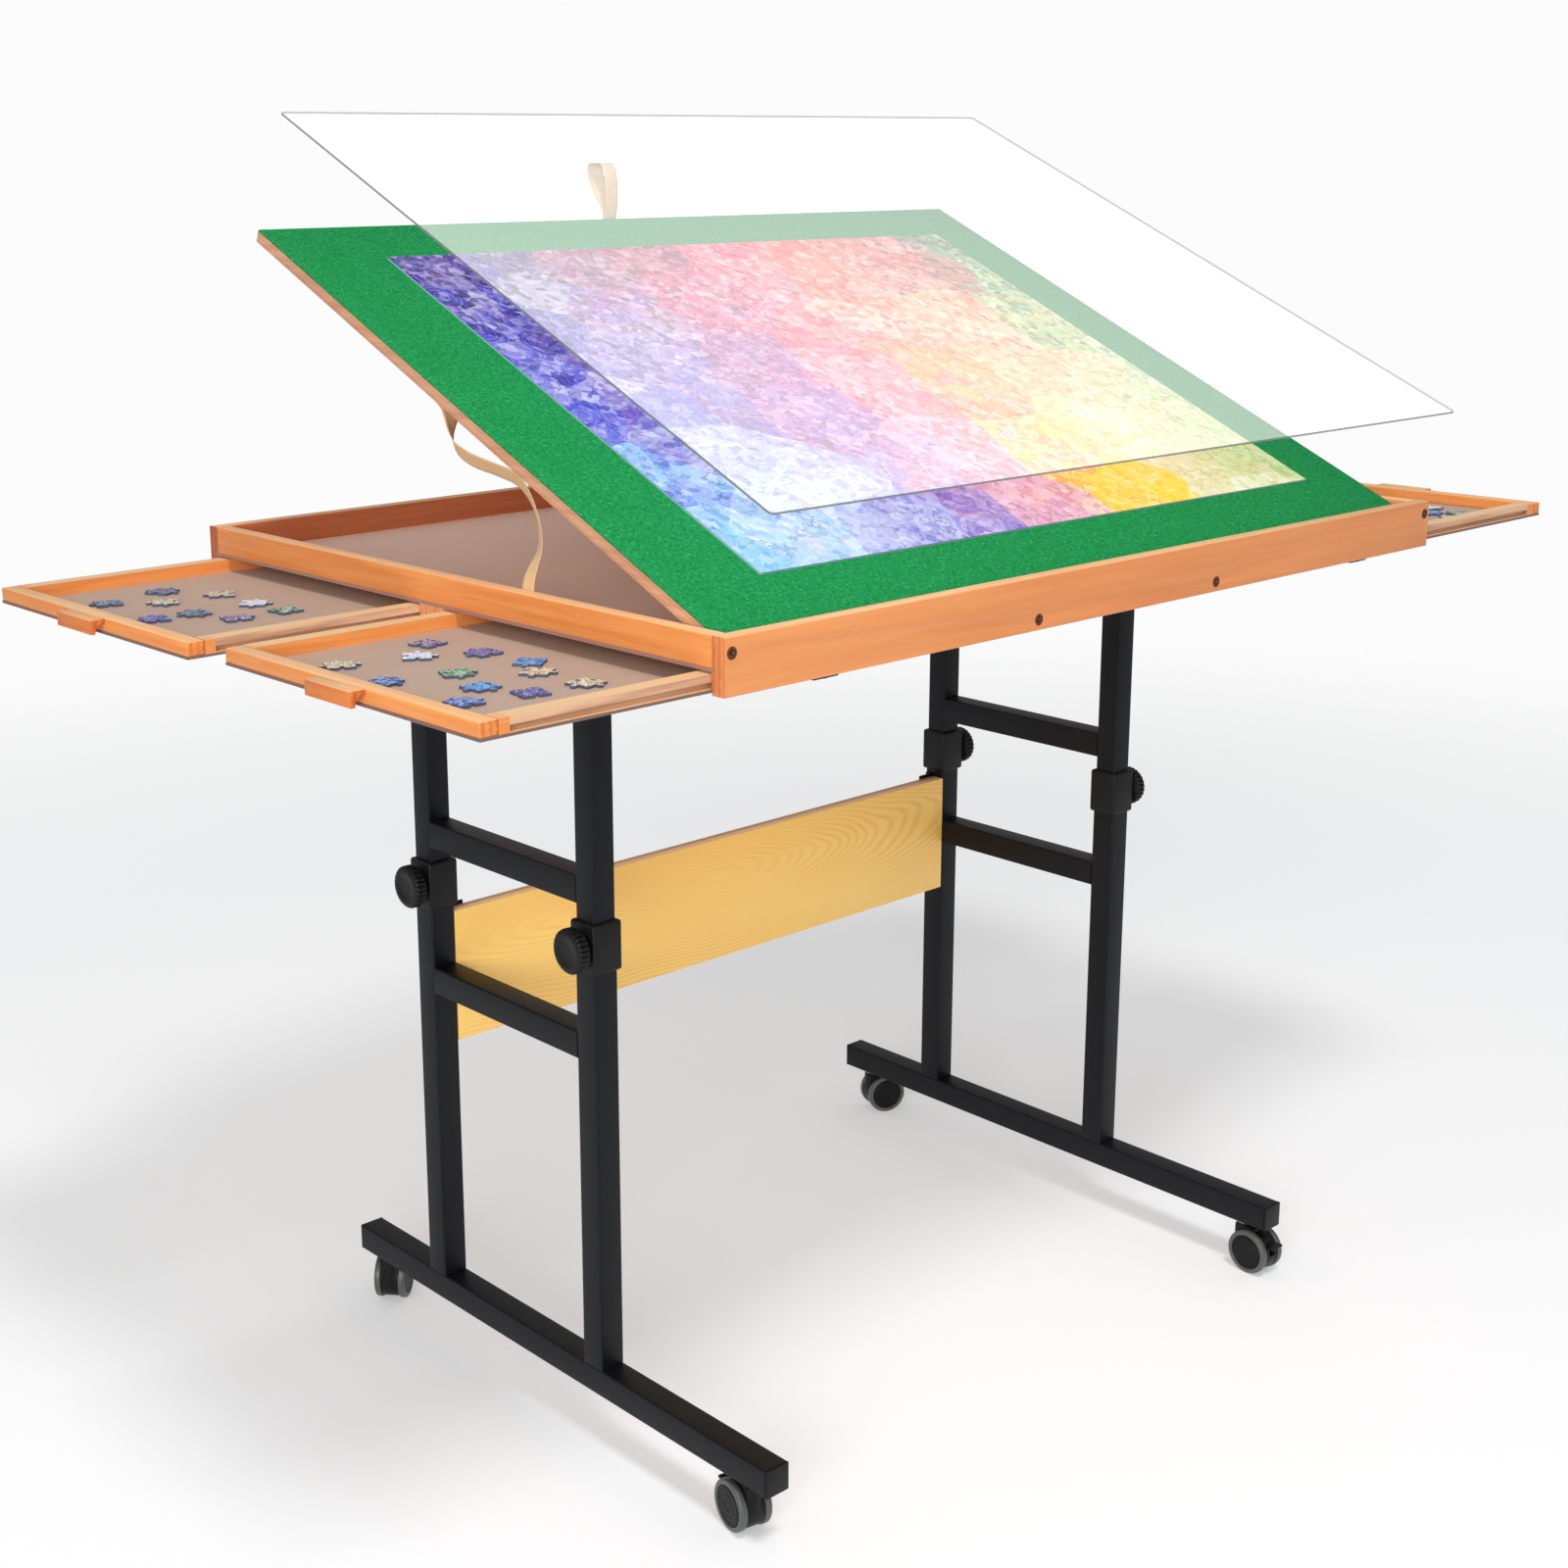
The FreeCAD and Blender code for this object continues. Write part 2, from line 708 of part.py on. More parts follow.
def caster_tyres():
    """Ring of tread on each hub, bevelled on its outer shoulder."""
    seat = wheel_radius - tyre_depth
    tread, shoulder = ngon(wheel_radius, wheel_flats), ngon(wheel_radius - tyre_bevel, wheel_flats)
    tyre = prism([tread, tread, shoulder], [wheel_inner, wheel_outer - tyre_bevel, wheel_outer])
    tyre = laid_along_y(tyre).cut(disc(seat, wheel_flats, V(0, 0, 0), wheel_outer))
    return [moved(s, caster_trail, 0, wheel_radius) for s in (tyre, turned(tyre, Z_AXIS, 180))]


def place_caster(shape, name):
    place = caster_places()[name]
    return moved(turned(shape, Z_AXIS, caster_directions[name]), place.x, place.y)


# ---- Table box --------------------------------------------------------------

def end_rail(end):
    """Front or back rail, as long as the table, grooved for the deck."""
    rail = block(-half_length, half_length, -half_depth, -inner_half_depth, box_bottom, rail_top)
    rail = bevelled(rail, rail_edge_bevel, lambda e: runs_along(e, X_AXIS))
    groove = block(-half_length, half_length, -inner_half_depth - deck_groove,
                   -inner_half_depth, deck_bottom, deck_top)
    rail = rail.cut(groove)
    if end > 0:
        rail = turned(rail, Z_AXIS, 180)
    return rail.cut(rail_screws() + strap_screws())


def side_rail(side):
    """Left or right rail, standing on the deck between the end rails."""
    rail = block(inner_half_length, half_length, -inner_half_depth, inner_half_depth,
                 deck_top, rail_top)
    rail = bevelled(rail, rail_edge_bevel,
                 lambda e: runs_along(e, Y_AXIS) and e.Vertexes[0].Z > deck_top)
    if side < 0:
        rail = turned(rail, Z_AXIS, 180)
    return rail.cut(rail_screws())


def prop_foot_y(tilt):
    """Where the prop's foot stands, for a tilt of the board in degrees."""
    lead = math.atan2(prop_pivot_height, prop_reach)
    arm = math.hypot(prop_reach, prop_pivot_height)
    return hinge_y + 2 * arm * math.cos(math.radians(tilt) + lead)


def rack_block():
    front = prop_foot_y(max(rack_tilts)) - rack_margin
    back = prop_foot_y(min(rack_tilts)) + rack_margin
    return block(-rack_width / 2, rack_width / 2, front, back,
                 deck_bottom, deck_top + rack_above_deck)


def prop_rack():
    """Notched hardwood strip let into the deck, one notch for each tilt."""
    top = deck_top + rack_above_deck
    notch_z = top + rack_notch_radius - rack_notch_depth
    notches = []
    for tilt in rack_tilts:
        y = prop_foot_y(tilt)
        notches.append(rod(rack_notch_radius, V(-rack_width / 2, y, notch_z),
                           V(rack_width / 2, y, notch_z)))
    return rack_block().cut(notches)


def deck():
    reach = inner_half_depth + deck_groove
    panel = block(-half_length, half_length, -reach, reach, deck_bottom, deck_top)
    return panel.cut(rack_block())


def drawer_dividers():
    """Two battens across the table that stop the drawers, and a beam out from each."""
    pieces = []
    stop = batten_from_middle + batten_thickness / 2
    for side in sides.values():
        batten = block(stop - batten_thickness, stop, -inner_half_depth, inner_half_depth,
                       box_bottom, deck_bottom)
        beam = block(stop, half_length, -divider_width / 2, divider_width / 2,
                     box_bottom, deck_bottom)
        for piece in (batten, beam):
            placed = piece if side > 0 else turned(piece, Z_AXIS, 180)
            pieces.append(placed.cut(rail_screws() + strap_screws()))
    return pieces


def drawer_runners():
    """Strips on the rails and beams, one in each drawer's side groove."""
    reach = drawer_gap + drawer_groove_depth - runner_clearance
    start = batten_from_middle + batten_thickness / 2
    stop = half_length - runner_set_back
    low, high = groove_bottom + runner_clearance, groove_top - runner_clearance
    strips = []
    for inner in (divider_width / 2, inner_half_depth - reach):
        strip_right = block(start, stop, inner, inner + reach, low, high)
        for across in (strip_right, strip_right.mirror(V(0, 0, 0), Y_AXIS)):
            strips.extend((across, mirrored_x(across)))
    return strips


def drawer(side, end, out):
    """Frame of four walls, bottom panel and pull of one drawer, pulled out at rest."""
    face = half_length + out
    inner = face - drawer_length
    y0, y1 = drawer_y - drawer_width / 2, drawer_y + drawer_width / 2
    low, high = drawer_frame_bottom, drawer_top
    front = block(face - drawer_wall, face, y0, y1, low, high)
    back = block(inner, inner + drawer_wall, y0 + drawer_wall, y1 - drawer_wall, low, high)
    groove_end = face - 2 * drawer_wall
    walls = []
    for wall_y, groove_y in ((y0, y0), (y1 - drawer_wall, y1 - drawer_groove_depth)):
        wall = block(inner, face - drawer_wall, wall_y, wall_y + drawer_wall, low, high)
        groove = block(inner, groove_end, groove_y, groove_y + drawer_groove_depth,
                       groove_bottom, groove_top)
        walls.append(wall.cut(groove))
    bottom = block(inner, face, y0, y1, low - drawer_bottom_thickness, low)
    solids = [front, back] + walls + [bottom, drawer_pull(face)]
    if side < 0:
        solids = [mirrored_x(s) for s in solids]
    if end < 0:
        solids = [s.mirror(V(0, 0, 0), Y_AXIS) for s in solids]
    return solids[:4], solids[4], solids[5]


def drawer_pull(face):
    """Lip across the drawer's front, with a finger cove behind it."""
    tip = face + pull_reach
    root = drawer_top - pull_root_height
    lip_bottom = drawer_top - pull_drop
    lip_back = tip - pull_lip
    cove = V((face + lip_back) / 2 + pull_cove_shift, 0,
             (root + lip_bottom) / 2 + pull_cove_shift)
    outline = [V(face, 0, drawer_top), V(tip, 0, drawer_top), V(tip, 0, lip_bottom),
               V(lip_back, 0, lip_bottom)]
    edges = [Part.LineSegment(a, b).toShape() for a, b in zip(outline, outline[1:])]
    edges.append(Part.Arc(outline[-1], cove, V(face, 0, root)).toShape())
    edges.append(Part.LineSegment(V(face, 0, root), outline[0]).toShape())
    section = Part.Face(Part.Wire(edges))
    pull = moved(section.extrude(Y_AXIS * pull_width), 0, drawer_y - pull_width / 2)
    return eased(pull, pull_round,
                 lambda e: runs_along(e, Y_AXIS) and e.Vertexes[0].X > lip_back)


# ---- Board ------------------------------------------------------------------

def hinge_places():
    return [-hinge_from_middle, hinge_from_middle]


def knuckles(x, own):
    """Reach along X of every other third of the barrel, from the first when own is 0."""
    third = hinge_leaf_width / 3
    start = x - hinge_leaf_width / 2 + hinge_knuckle_gap / 2
    return [(start + i * third, start + (i + 1) * third - hinge_knuckle_gap)
            for i in range(own, 3, 2)]


def hinge_leaf(x, own, level, bore):
    """Leaf whose underside is at the given level from the axis, with its knuckles."""
    half = hinge_leaf_width / 2
    high = level + hinge_leaf_thickness
    plate = on_board(x - half, x + half, hinge_neck, hinge_leaf_depth, level, high)
    pieces = []
    for left, right in knuckles(x, own):
        pieces.append(rod(hinge_barrel_radius, V(left, hinge_y, hinge_z),
                          V(right, hinge_y, hinge_z)))
        pieces.append(on_board(left, right, 0, hinge_neck, level, high))
    leaf = plate.fuse(pieces).removeSplitter()
    return leaf.cut(rod(bore, V(x - half, hinge_y, hinge_z), V(x + half, hinge_y, hinge_z)))


def fixed_hinges():
    """Leaves on the deck, each with its pin pressed in."""
    solids = []
    for x in hinge_places():
        solids.append(hinge_leaf(x, 0, -hinge_above_deck, hinge_pin_radius))
        half = hinge_leaf_width / 2
        solids.append(rod(hinge_pin_radius, V(x - half, hinge_y, hinge_z),
                          V(x + half, hinge_y, hinge_z)))
    return solids


def moving_hinges():
    """Leaves let into the underside of the board's front batten."""
    return [tilted(hinge_leaf(x, 1, board_under, hinge_pin_radius + pin_clearance))
            for x in hinge_places()]


def board_frame():
    """Four battens under the board's panel, the front one recessed for the hinges."""
    side_from = board_half - board_frame_width
    front_end = board_front + board_frame_width
    back_start = board_back - board_frame_width
    front = on_board(-board_half, board_half, board_front, front_end, board_under, panel_under)
    recesses = [on_board(x - hinge_leaf_width / 2, x + hinge_leaf_width / 2,
                         board_front, hinge_leaf_depth,
                         board_under, board_under + hinge_leaf_thickness)
                for x in hinge_places()]
    back = on_board(-board_half, board_half, back_start, board_back, board_under, panel_under)
    side = on_board(side_from, board_half, front_end, back_start, board_under, panel_under)
    return [tilted(s) for s in (front.cut(recesses), back, side, mirrored_x(side))]


def board_layer(low, high):
    """Full-size layer of the board between two levels above the hinge axis."""
    return tilted(on_board(-board_half, board_half, board_front, board_back, low, high))


def puzzle():
    left = puzzle_shift - puzzle_length / 2
    start = board_back - puzzle_from_back - puzzle_width
    return tilted(on_board(left, left + puzzle_length, start, start + puzzle_width,
                           felt_top_level, puzzle_top))


def cover():
    low = puzzle_top + cover_lift
    half = cover_length / 2
    sheet = on_board(-half, half, cover_from_hinge, cover_from_hinge + cover_width,
                     low, low + cover_thickness)
    return tilted(eased(sheet, cover_corner, lambda e: runs_along(e, Z_AXIS)))


def prop_pivot():
    return board_point(prop_reach, prop_pivot_height)


def prop_frame():
    """Bent wire: two stubs in the brackets, two arms and the foot across them."""
    pivot = prop_pivot()
    foot = V(0, prop_foot_y(board_tilt), hinge_z)
    arm_x = X_AXIS * (prop_width / 2)
    stub_x = X_AXIS * (prop_width / 2 + prop_stub)
    points = [pivot - stub_x, pivot - arm_x, foot - arm_x,
              foot + arm_x, pivot + arm_x, pivot + stub_x]
    return wire_rod(points, prop_wire_radius, prop_bend_radius)


def prop_brackets():
    """Saddles under the board's panel in which the prop's stubs turn."""
    outer = prop_width / 2 + prop_stub
    inner = outer - prop_bracket_width
    low = board_under + prop_bracket_floor
    right = on_board(inner, outer, prop_reach - prop_bracket_depth / 2,
                     prop_reach + prop_bracket_depth / 2, low, panel_under)
    axis = V(0, hinge_y + prop_reach, hinge_z + prop_pivot_height)
    bore = rod(prop_wire_radius + pin_clearance, axis - X_AXIS * outer, axis + X_AXIS * outer)
    return [tilted(s.cut(bore)) for s in (right, mirrored_x(right))]


# ---- Ribbons ----------------------------------------------------------------

def stay_ribbon_route():
    """Slack stay from the side rail up to the board, as points of the YZ plane."""
    points = [V(0, hinge_y + stay_hold + y, rail_top + z) for y, z in stay_slack]
    top = board_point(stay_reach, board_under - ribbon_gap - ribbon_thickness / 2)
    return points + [top]


def stay_ribbons():
    """Slack stays, one at each end of the board."""
    inner = -inner_half_length + ribbon_gap
    left = strip(stay_ribbon_route(), inner, inner + ribbon_width,
                 ribbon_thickness, ribbon_bend_radius)
    return [left, mirrored_x(left)]


def pull_ribbon():
    """Loop of ribbon standing at the board's back edge, to lift the board by."""
    start = board_point(board_back + ribbon_thickness / 2, 0)
    turn = board_point(board_back + ribbon_thickness / 2, felt_top_level + pull_ribbon_turn)
    loop = [turn + V(0, y, z) for y, z in pull_loop]
    left = pull_ribbon_from_middle - ribbon_width / 2
    return strip([start, turn] + loop, left, left + ribbon_width,
                 ribbon_thickness, pull_ribbon_bend_radius)


# ---- Nodes ------------------------------------------------------------------

for side_name, side in sides.items():
    save(f"lower_frame_{side_name}", lower_frame(side))
    save(f"upper_frame_{side_name}", upper_frame(side))
    save(f"{side_name}_rail", side_rail(side))

save("height_collars", *collars())
save("foot_end_plugs", *[foot_plug(s, e) for s in sides.values() for e in ends.values()])
stretcher_panel, stretcher_brackets, stretcher_screws = stretcher()
save("stretcher_panel", stretcher_panel)
save("stretcher_brackets", *stretcher_brackets)
save("stretcher_screws", *stretcher_screws)
save("caster_stems", *[caster_stem(place) for place in caster_places().values()])

save("front_rail", end_rail(-1))
save("back_rail", end_rail(1))
save("deck_panel", deck())
save("drawer_dividers", *drawer_dividers())
save("drawer_runners", *drawer_runners())
save("table_screws", *rail_screws(), *strap_screws())
save("prop_rack", prop_rack())
save("board_hinges", *fixed_hinges())
save("stay_ribbons", *stay_ribbons())

save("board_frame", *board_frame())
save("board_panel", board_layer(panel_under, panel_top))
save("felt_top", board_layer(panel_top, felt_top_level))
save("assembled_puzzle", puzzle())
save("board_hinge_leaves", *moving_hinges())
save("prop_brackets", *prop_brackets())
save("pull_ribbon", pull_ribbon())
save("prop_frame", prop_frame())
save("cover_sheet", cover())

for end_name, end in ends.items():
    for side_name, side in sides.items():
        name = f"{end_name}_{side_name}"
        walls, bottom, pull = drawer(side, end, drawers_out[name])
        save(f"drawer_{name}_frame", *walls)
        save(f"drawer_{name}_bottom", bottom)
        save(f"drawer_{name}_pull", pull)
        save(f"knob_{name}", *knob(side, leg_y[end_name]))
        has_pedal = end_name == "front"
        save(f"caster_{name}_hood", place_caster(caster_hood(has_pedal), name))
        save(f"caster_{name}_wheels", place_caster(caster_wheels(), name))
        save(f"caster_{name}_tyres", *[place_caster(s, name) for s in caster_tyres()])
        if has_pedal:
            save(f"caster_{name}_pedal", place_caster(caster_pedal(), name))
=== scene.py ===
"""Jigsaw puzzle table: detailed pieces, finishes, studio light and camera.

Metres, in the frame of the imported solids.
"""
import json
import math
import random

import bmesh
import bpy
from mathutils import Matrix, Vector


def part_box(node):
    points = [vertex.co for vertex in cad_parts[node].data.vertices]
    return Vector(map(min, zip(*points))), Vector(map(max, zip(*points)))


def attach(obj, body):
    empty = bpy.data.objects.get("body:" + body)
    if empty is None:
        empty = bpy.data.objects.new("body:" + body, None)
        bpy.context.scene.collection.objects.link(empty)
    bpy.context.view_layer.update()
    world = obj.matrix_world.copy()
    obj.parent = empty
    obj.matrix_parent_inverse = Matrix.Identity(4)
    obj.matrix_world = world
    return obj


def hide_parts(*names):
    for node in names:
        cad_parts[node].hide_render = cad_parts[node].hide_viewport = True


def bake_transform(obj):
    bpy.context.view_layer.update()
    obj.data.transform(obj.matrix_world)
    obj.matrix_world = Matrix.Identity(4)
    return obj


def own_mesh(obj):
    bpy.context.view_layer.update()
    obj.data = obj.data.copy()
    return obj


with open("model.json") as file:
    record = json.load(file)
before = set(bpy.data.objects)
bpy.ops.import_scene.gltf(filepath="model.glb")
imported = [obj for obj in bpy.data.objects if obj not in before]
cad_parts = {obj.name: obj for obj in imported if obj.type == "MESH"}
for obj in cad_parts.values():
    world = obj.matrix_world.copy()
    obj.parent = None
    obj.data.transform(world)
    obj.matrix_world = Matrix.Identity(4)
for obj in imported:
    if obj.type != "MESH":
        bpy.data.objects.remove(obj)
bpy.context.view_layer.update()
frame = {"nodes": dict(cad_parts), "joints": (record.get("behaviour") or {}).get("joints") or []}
scene = bpy.context.scene
joints = {joint["name"]: joint for joint in frame["joints"]}
MM = 0.001


# ---- Finishes ----

def paint(red, green, blue):
    """Colour given in 0 to 255 steps, as the shader takes it."""
    def linear(step):
        part = step / 255
        return part / 12.92 if part <= 0.04045 else ((part + 0.055) / 1.055) ** 2.4
    return (linear(red), linear(green), linear(blue), 1.0)


class Value:
    """A socket of a node tree, with arithmetic."""

    def __init__(self, nodes, socket):
        self.nodes = nodes
        self.socket = socket

    def maths(self, operation, *others):
        return self.nodes.node("ShaderNodeMath", {"operation": operation}, [self, *others])

    def __add__(self, other):
        return self.maths("ADD", other)

    def __sub__(self, other):
        return self.maths("SUBTRACT", other)

    def __rsub__(self, other):
        return self.nodes.node("ShaderNodeMath", {"operation": "SUBTRACT"}, [other, self])

    def __mul__(self, other):
        return self.maths("MULTIPLY", other)

    def __truediv__(self, other):
        return self.maths("DIVIDE", other)

    def __pow__(self, other):
        return self.maths("POWER", other)

    __radd__ = __add__
    __rmul__ = __mul__

    def step(self, low, high):
        """0 below low, 1 above high, smooth between them."""
        settings = {"interpolation_type": "SMOOTHSTEP"}
        return self.nodes.node("ShaderNodeMapRange", settings,
                               {"Value": self, "From Min": low, "From Max": high})

    def other(self, name):
        """Another output of the same node."""
        return Value(self.nodes, self.socket.node.outputs[name])


class Nodes:
    """A node tree that is filled node by node."""

    def __init__(self, owner):
        owner.use_nodes = True
        self.tree = owner.node_tree

    def put(self, socket, value):
        if isinstance(value, Value):
            self.tree.links.new(value.socket, socket)
        elif value is not None:
            socket.default_value = value

    def node(self, kind, settings, inputs):
        """Add a node: its settings and ramp stops first, then what its sockets take."""
        node = self.tree.nodes.new(kind)
        for key, value in settings.items():
            if key == "stops":
                elements = node.color_ramp.elements
                while len(elements) < len(value):
                    elements.new(0.5)
                for element, (at, colour) in zip(elements, value):
                    element.position, element.color = at, colour
            elif key == "smooth":
                node.color_ramp.interpolation = value
            else:
                setattr(node, key, value)
        pairs = inputs.items() if isinstance(inputs, dict) else enumerate(inputs)
        for key, value in pairs:
            self.put(node.inputs[key], value)
        return Value(self, node.outputs[0]) if node.outputs else None


class Finish(Nodes):
    """A material and the nodes that vary it over a surface."""

    def __init__(self, name, **settings):
        self.material = bpy.data.materials.new(name)
        super().__init__(self.material)
        self.shader = self.tree.nodes["Principled BSDF"]
        self.place = self.node("ShaderNodeTexCoord", {}, []).other("Object")
        self.set(**settings)

    def set(self, **values):
        for key, value in values.items():
            self.put(self.shader.inputs[key.replace("_", " ")], value)

    def noise(self, scale, detail=3.0, stretch=None, roughness=0.5, distortion=0.0, place=None):
        place = place or self.place
        if stretch:
            place = self.vector("MULTIPLY", place, stretch)
        return self.node("ShaderNodeTexNoise", {},
                         {"Vector": place, "Scale": scale, "Detail": detail,
                          "Roughness": roughness, "Distortion": distortion})

    def cells(self, scale, place=None, feature="F1", randomness=1.0):
        return self.node("ShaderNodeTexVoronoi", {"feature": feature},
                         {"Vector": place or self.place, "Scale": scale,
                          "Randomness": randomness})

    def vector(self, operation, first, second):
        return self.node("ShaderNodeVectorMath", {"operation": operation}, [first, second])

    def axes(self, place=None):
        split = self.node("ShaderNodeSeparateXYZ", {}, [place or self.place])
        return split.other("X"), split.other("Y"), split.other("Z")

    def blend(self, share, first, second, mode="MIX"):
        return self.node("ShaderNodeMix", {"data_type": "RGBA", "blend_type": mode},
                         {0: share, 6: first, 7: second}).other(2)

    def ramp(self, share, stops, smooth="LINEAR"):
        return self.node("ShaderNodeValToRGB", {"smooth": smooth, "stops": stops}, [share])

    def bump(self, height, strength, distance=0.001):
        self.set(Normal=self.node("ShaderNodeBump", {},
                                  {"Strength": strength, "Distance": distance,
                                   "Height": height}))

    def facing(self):
        return self.axes(self.node("ShaderNodeNewGeometry", {}, []).other("Normal"))


joint = joints["board_tilt"]
board_tilt = -math.radians(joint["range_deg"][0])
board_to_row = Matrix.Translation(joint["pos_m"]) @ Matrix.Rotation(board_tilt, 4, "X")
row_to_board = board_to_row.inverted()


def on_board(finish):
    """Place of a point on the board: x across, y back from the hinge, z above it."""
    return finish.node("ShaderNodeMapping", {"vector_type": "POINT"},
                       {"Vector": finish.place, "Location": row_to_board.translation,
                        "Rotation": row_to_board.to_euler()})


RING_CENTRE = (1.4, 0.76)


def varnished_wood(name, dark, light, pale, along, offset=0.0, streaks=0.75):
    """Straight-grained wood under clear varnish, rings on its ends, paler on top as a painted
    highlight.
    """
    finish = Finish(name, Coat_Weight=0.12, Coat_Roughness=0.3, Specular_IOR_Level=0.4)
    moved = finish.vector("ADD", finish.place, (offset, offset, offset))

    def drawn_out(share):
        return [share if i == along else 1.0 for i in range(3)]

    grain = finish.noise(150.0, 5.0, drawn_out(0.045), 0.62, 0.4, moved)
    tone = finish.noise(9.0, 2.0, drawn_out(0.25), place=moved)
    pores = finish.noise(1500.0, 2.0, drawn_out(0.03), place=moved)
    streak = grain.step(0.36, 0.66)
    colour = finish.blend(streak * streaks + tone.step(0.35, 0.65) * (1.0 - streaks), dark, light)
    colour = finish.blend(pores.step(0.62, 0.78) * 0.28, colour, dark)
    sides = finish.facing()
    first, second = (value for i, value in enumerate(finish.axes()) if i != along)
    first, second = first - RING_CENTRE[0], (second - RING_CENTRE[1]) * 0.9
    reach = (first * first + second * second) ** 0.5
    rings = ((reach * 1100.0 + grain * 5.0).maths("SINE") * 0.5 + 0.5).step(0.2, 0.95)
    ends = sides[along].maths("ABSOLUTE").step(0.6, 0.9)
    colour = finish.blend(ends * (0.15 + rings * 0.35), colour,
                          finish.blend(1.0, colour, dark, "MULTIPLY"))
    # Upward faces take the pale colour: a painted highlight where the lamps light the tops.
    if pale:
        uneven_tone = finish.blend(streak * 0.5, pale, light)
        colour = finish.blend(sides[2].step(0.55, 0.95) * 0.85, colour, uneven_tone)
    finish.set(Base_Color=colour, Roughness=0.38 + grain * 0.16)
    finish.bump(grain * 0.5 + pores * 0.5, 0.12, 0.0004)
    return finish


PINE_ARCH_X, PINE_ARCH_Z, PINE_JOINT = -0.1, 0.392, 0.1538


def pine_veneer():
    """Yellow pine with faint arched grain, on a board of two layers."""
    finish = Finish("pine_veneer", Coat_Weight=0.1, Coat_Roughness=0.4)
    x, y, z = finish.axes()
    warp = finish.noise(4.0, 3.0, (0.5, 1.0, 1.3))
    across = (z - PINE_ARCH_Z) * 5.6
    along = (x - PINE_ARCH_X) * 0.75
    reach = (across * across + along * along) ** 0.5 + warp * 0.42
    rings = (reach * 330.0).maths("SINE") * 0.5 + 0.5
    fine = finish.noise(230.0, 4.0, (0.04, 1.0, 1.0))
    uneven_tone = finish.noise(11.0, 3.0, (0.5, 1.0, 1.5)).step(0.35, 0.7)
    line = rings.step(0.35, 1.0) * (0.2 + fine * 0.8) * (0.3 + uneven_tone * 0.7)
    colour = finish.blend(line * 0.8, paint(255, 212, 118), paint(240, 170, 76))
    tone = finish.noise(4.0, 2.0, (0.4, 1.0, 2.0)).step(0.35, 0.7)
    colour = finish.blend(tone * 0.45, colour, paint(255, 194, 96))
    back = y.step(PINE_JOINT - 0.0007, PINE_JOINT + 0.0007)
    edge = finish.blend(back, paint(244, 212, 156), paint(208, 160, 112))
    up = finish.facing()[2].step(0.5, 0.9)
    finish.set(Base_Color=finish.blend(up, colour, edge), Roughness=0.46 + fine * 0.1)
    finish.bump(line, 0.04, 0.0002)
    return finish


def fine_board(name, colour, fleck, edge):
    """Smooth thin board with fine flecks and darker cut edges."""
    finish = Finish(name)
    speck = finish.noise(1400.0, 3.0)
    cloud = finish.noise(14.0, 3.0)
    base = finish.blend(speck.step(0.35, 0.7) * 0.5, colour, fleck)
    base = finish.blend(cloud.step(0.4, 0.7) * 0.22, base, fleck)
    flat = finish.facing()[2].maths("ABSOLUTE").step(0.4, 0.7)
    base = finish.blend(flat, finish.blend(speck * 0.5, edge, fleck), base)
    finish.set(Base_Color=base, Roughness=0.58 + speck * 0.15)
    finish.bump(speck, 0.08, 0.0003)
    return finish


def felt():
    """Short dense felt, mottled by its fibres."""
    finish = Finish("green_felt", Roughness=0.95, Specular_IOR_Level=0.08)
    place = on_board(finish)
    fibres = finish.noise(820.0, 4.0, (1.0, 0.6, 1.0), 0.7, 1.0, place)
    tufts = finish.noise(330.0, 3.0, None, 0.6, 0.6, place)
    cloud = finish.noise(16.0, 2.0, None, 0.5, 0.0, place)
    shade = fibres * 0.55 + tufts * 0.45
    colour = finish.ramp(shade.step(0.3, 0.72),
                         [(0.0, paint(8, 104, 50)), (0.45, paint(30, 138, 74)),
                          (0.75, paint(42, 154, 88)), (1.0, paint(84, 184, 122))])
    colour = finish.blend(cloud.step(0.35, 0.7) * 0.15, colour, paint(12, 130, 64))
    finish.set(Base_Color=colour)
    finish.bump(fibres * 0.7 + tufts * 0.6, 0.55, 0.0007)
    return finish


def coated_steel():
    """Black powder coat with a fine peel."""
    finish = Finish("black_steel", Specular_IOR_Level=0.22)
    peel = finish.noise(620.0, 2.0)
    dust = finish.noise(5.0, 3.0)
    finish.set(Roughness=0.36 + dust * 0.16,
               Base_Color=finish.blend(dust.step(0.4, 0.7), paint(7, 9, 14), paint(12, 14, 21)))
    finish.bump(peel, 0.14, 0.0004)
    return finish


def moulded_black(name, roughness, shine):
    finish = Finish(name, Specular_IOR_Level=shine)
    grain = finish.noise(1700.0, 2.0)
    tone = finish.noise(30.0, 2.0)
    finish.set(Base_Color=finish.blend(tone, paint(9, 9, 11), paint(16, 16, 18)),
               Roughness=roughness - 0.06 + grain * 0.14)
    finish.bump(grain, 0.1, 0.0002)
    return finish


def tyre_rubber():
    finish = Finish("grey_tyre", Coat_Weight=0.3, Coat_Roughness=0.3)
    cloud = finish.noise(60.0, 3.0)
    scuff = finish.noise(420.0, 3.0, (1.0, 1.0, 0.35))
    colour = finish.blend(cloud, paint(62, 66, 61), paint(78, 82, 75))
    colour = finish.blend(scuff.step(0.6, 0.8) * 0.3, colour, paint(58, 61, 56))
    finish.set(Base_Color=colour, Roughness=0.4 + scuff * 0.18)
    finish.bump(scuff, 0.06, 0.0003)
    return finish


def plated_steel(name="bright_steel", colour=(176, 172, 162)):
    finish = Finish(name, Metallic=0.95)
    brush = finish.noise(900.0, 3.0, (0.15, 1.0, 1.0))
    finish.set(Base_Color=finish.blend(brush, paint(*colour), paint(*(c * 0.8 for c in colour))),
               Roughness=0.28 + brush * 0.2)
    finish.bump(brush, 0.04, 0.0002)
    return finish


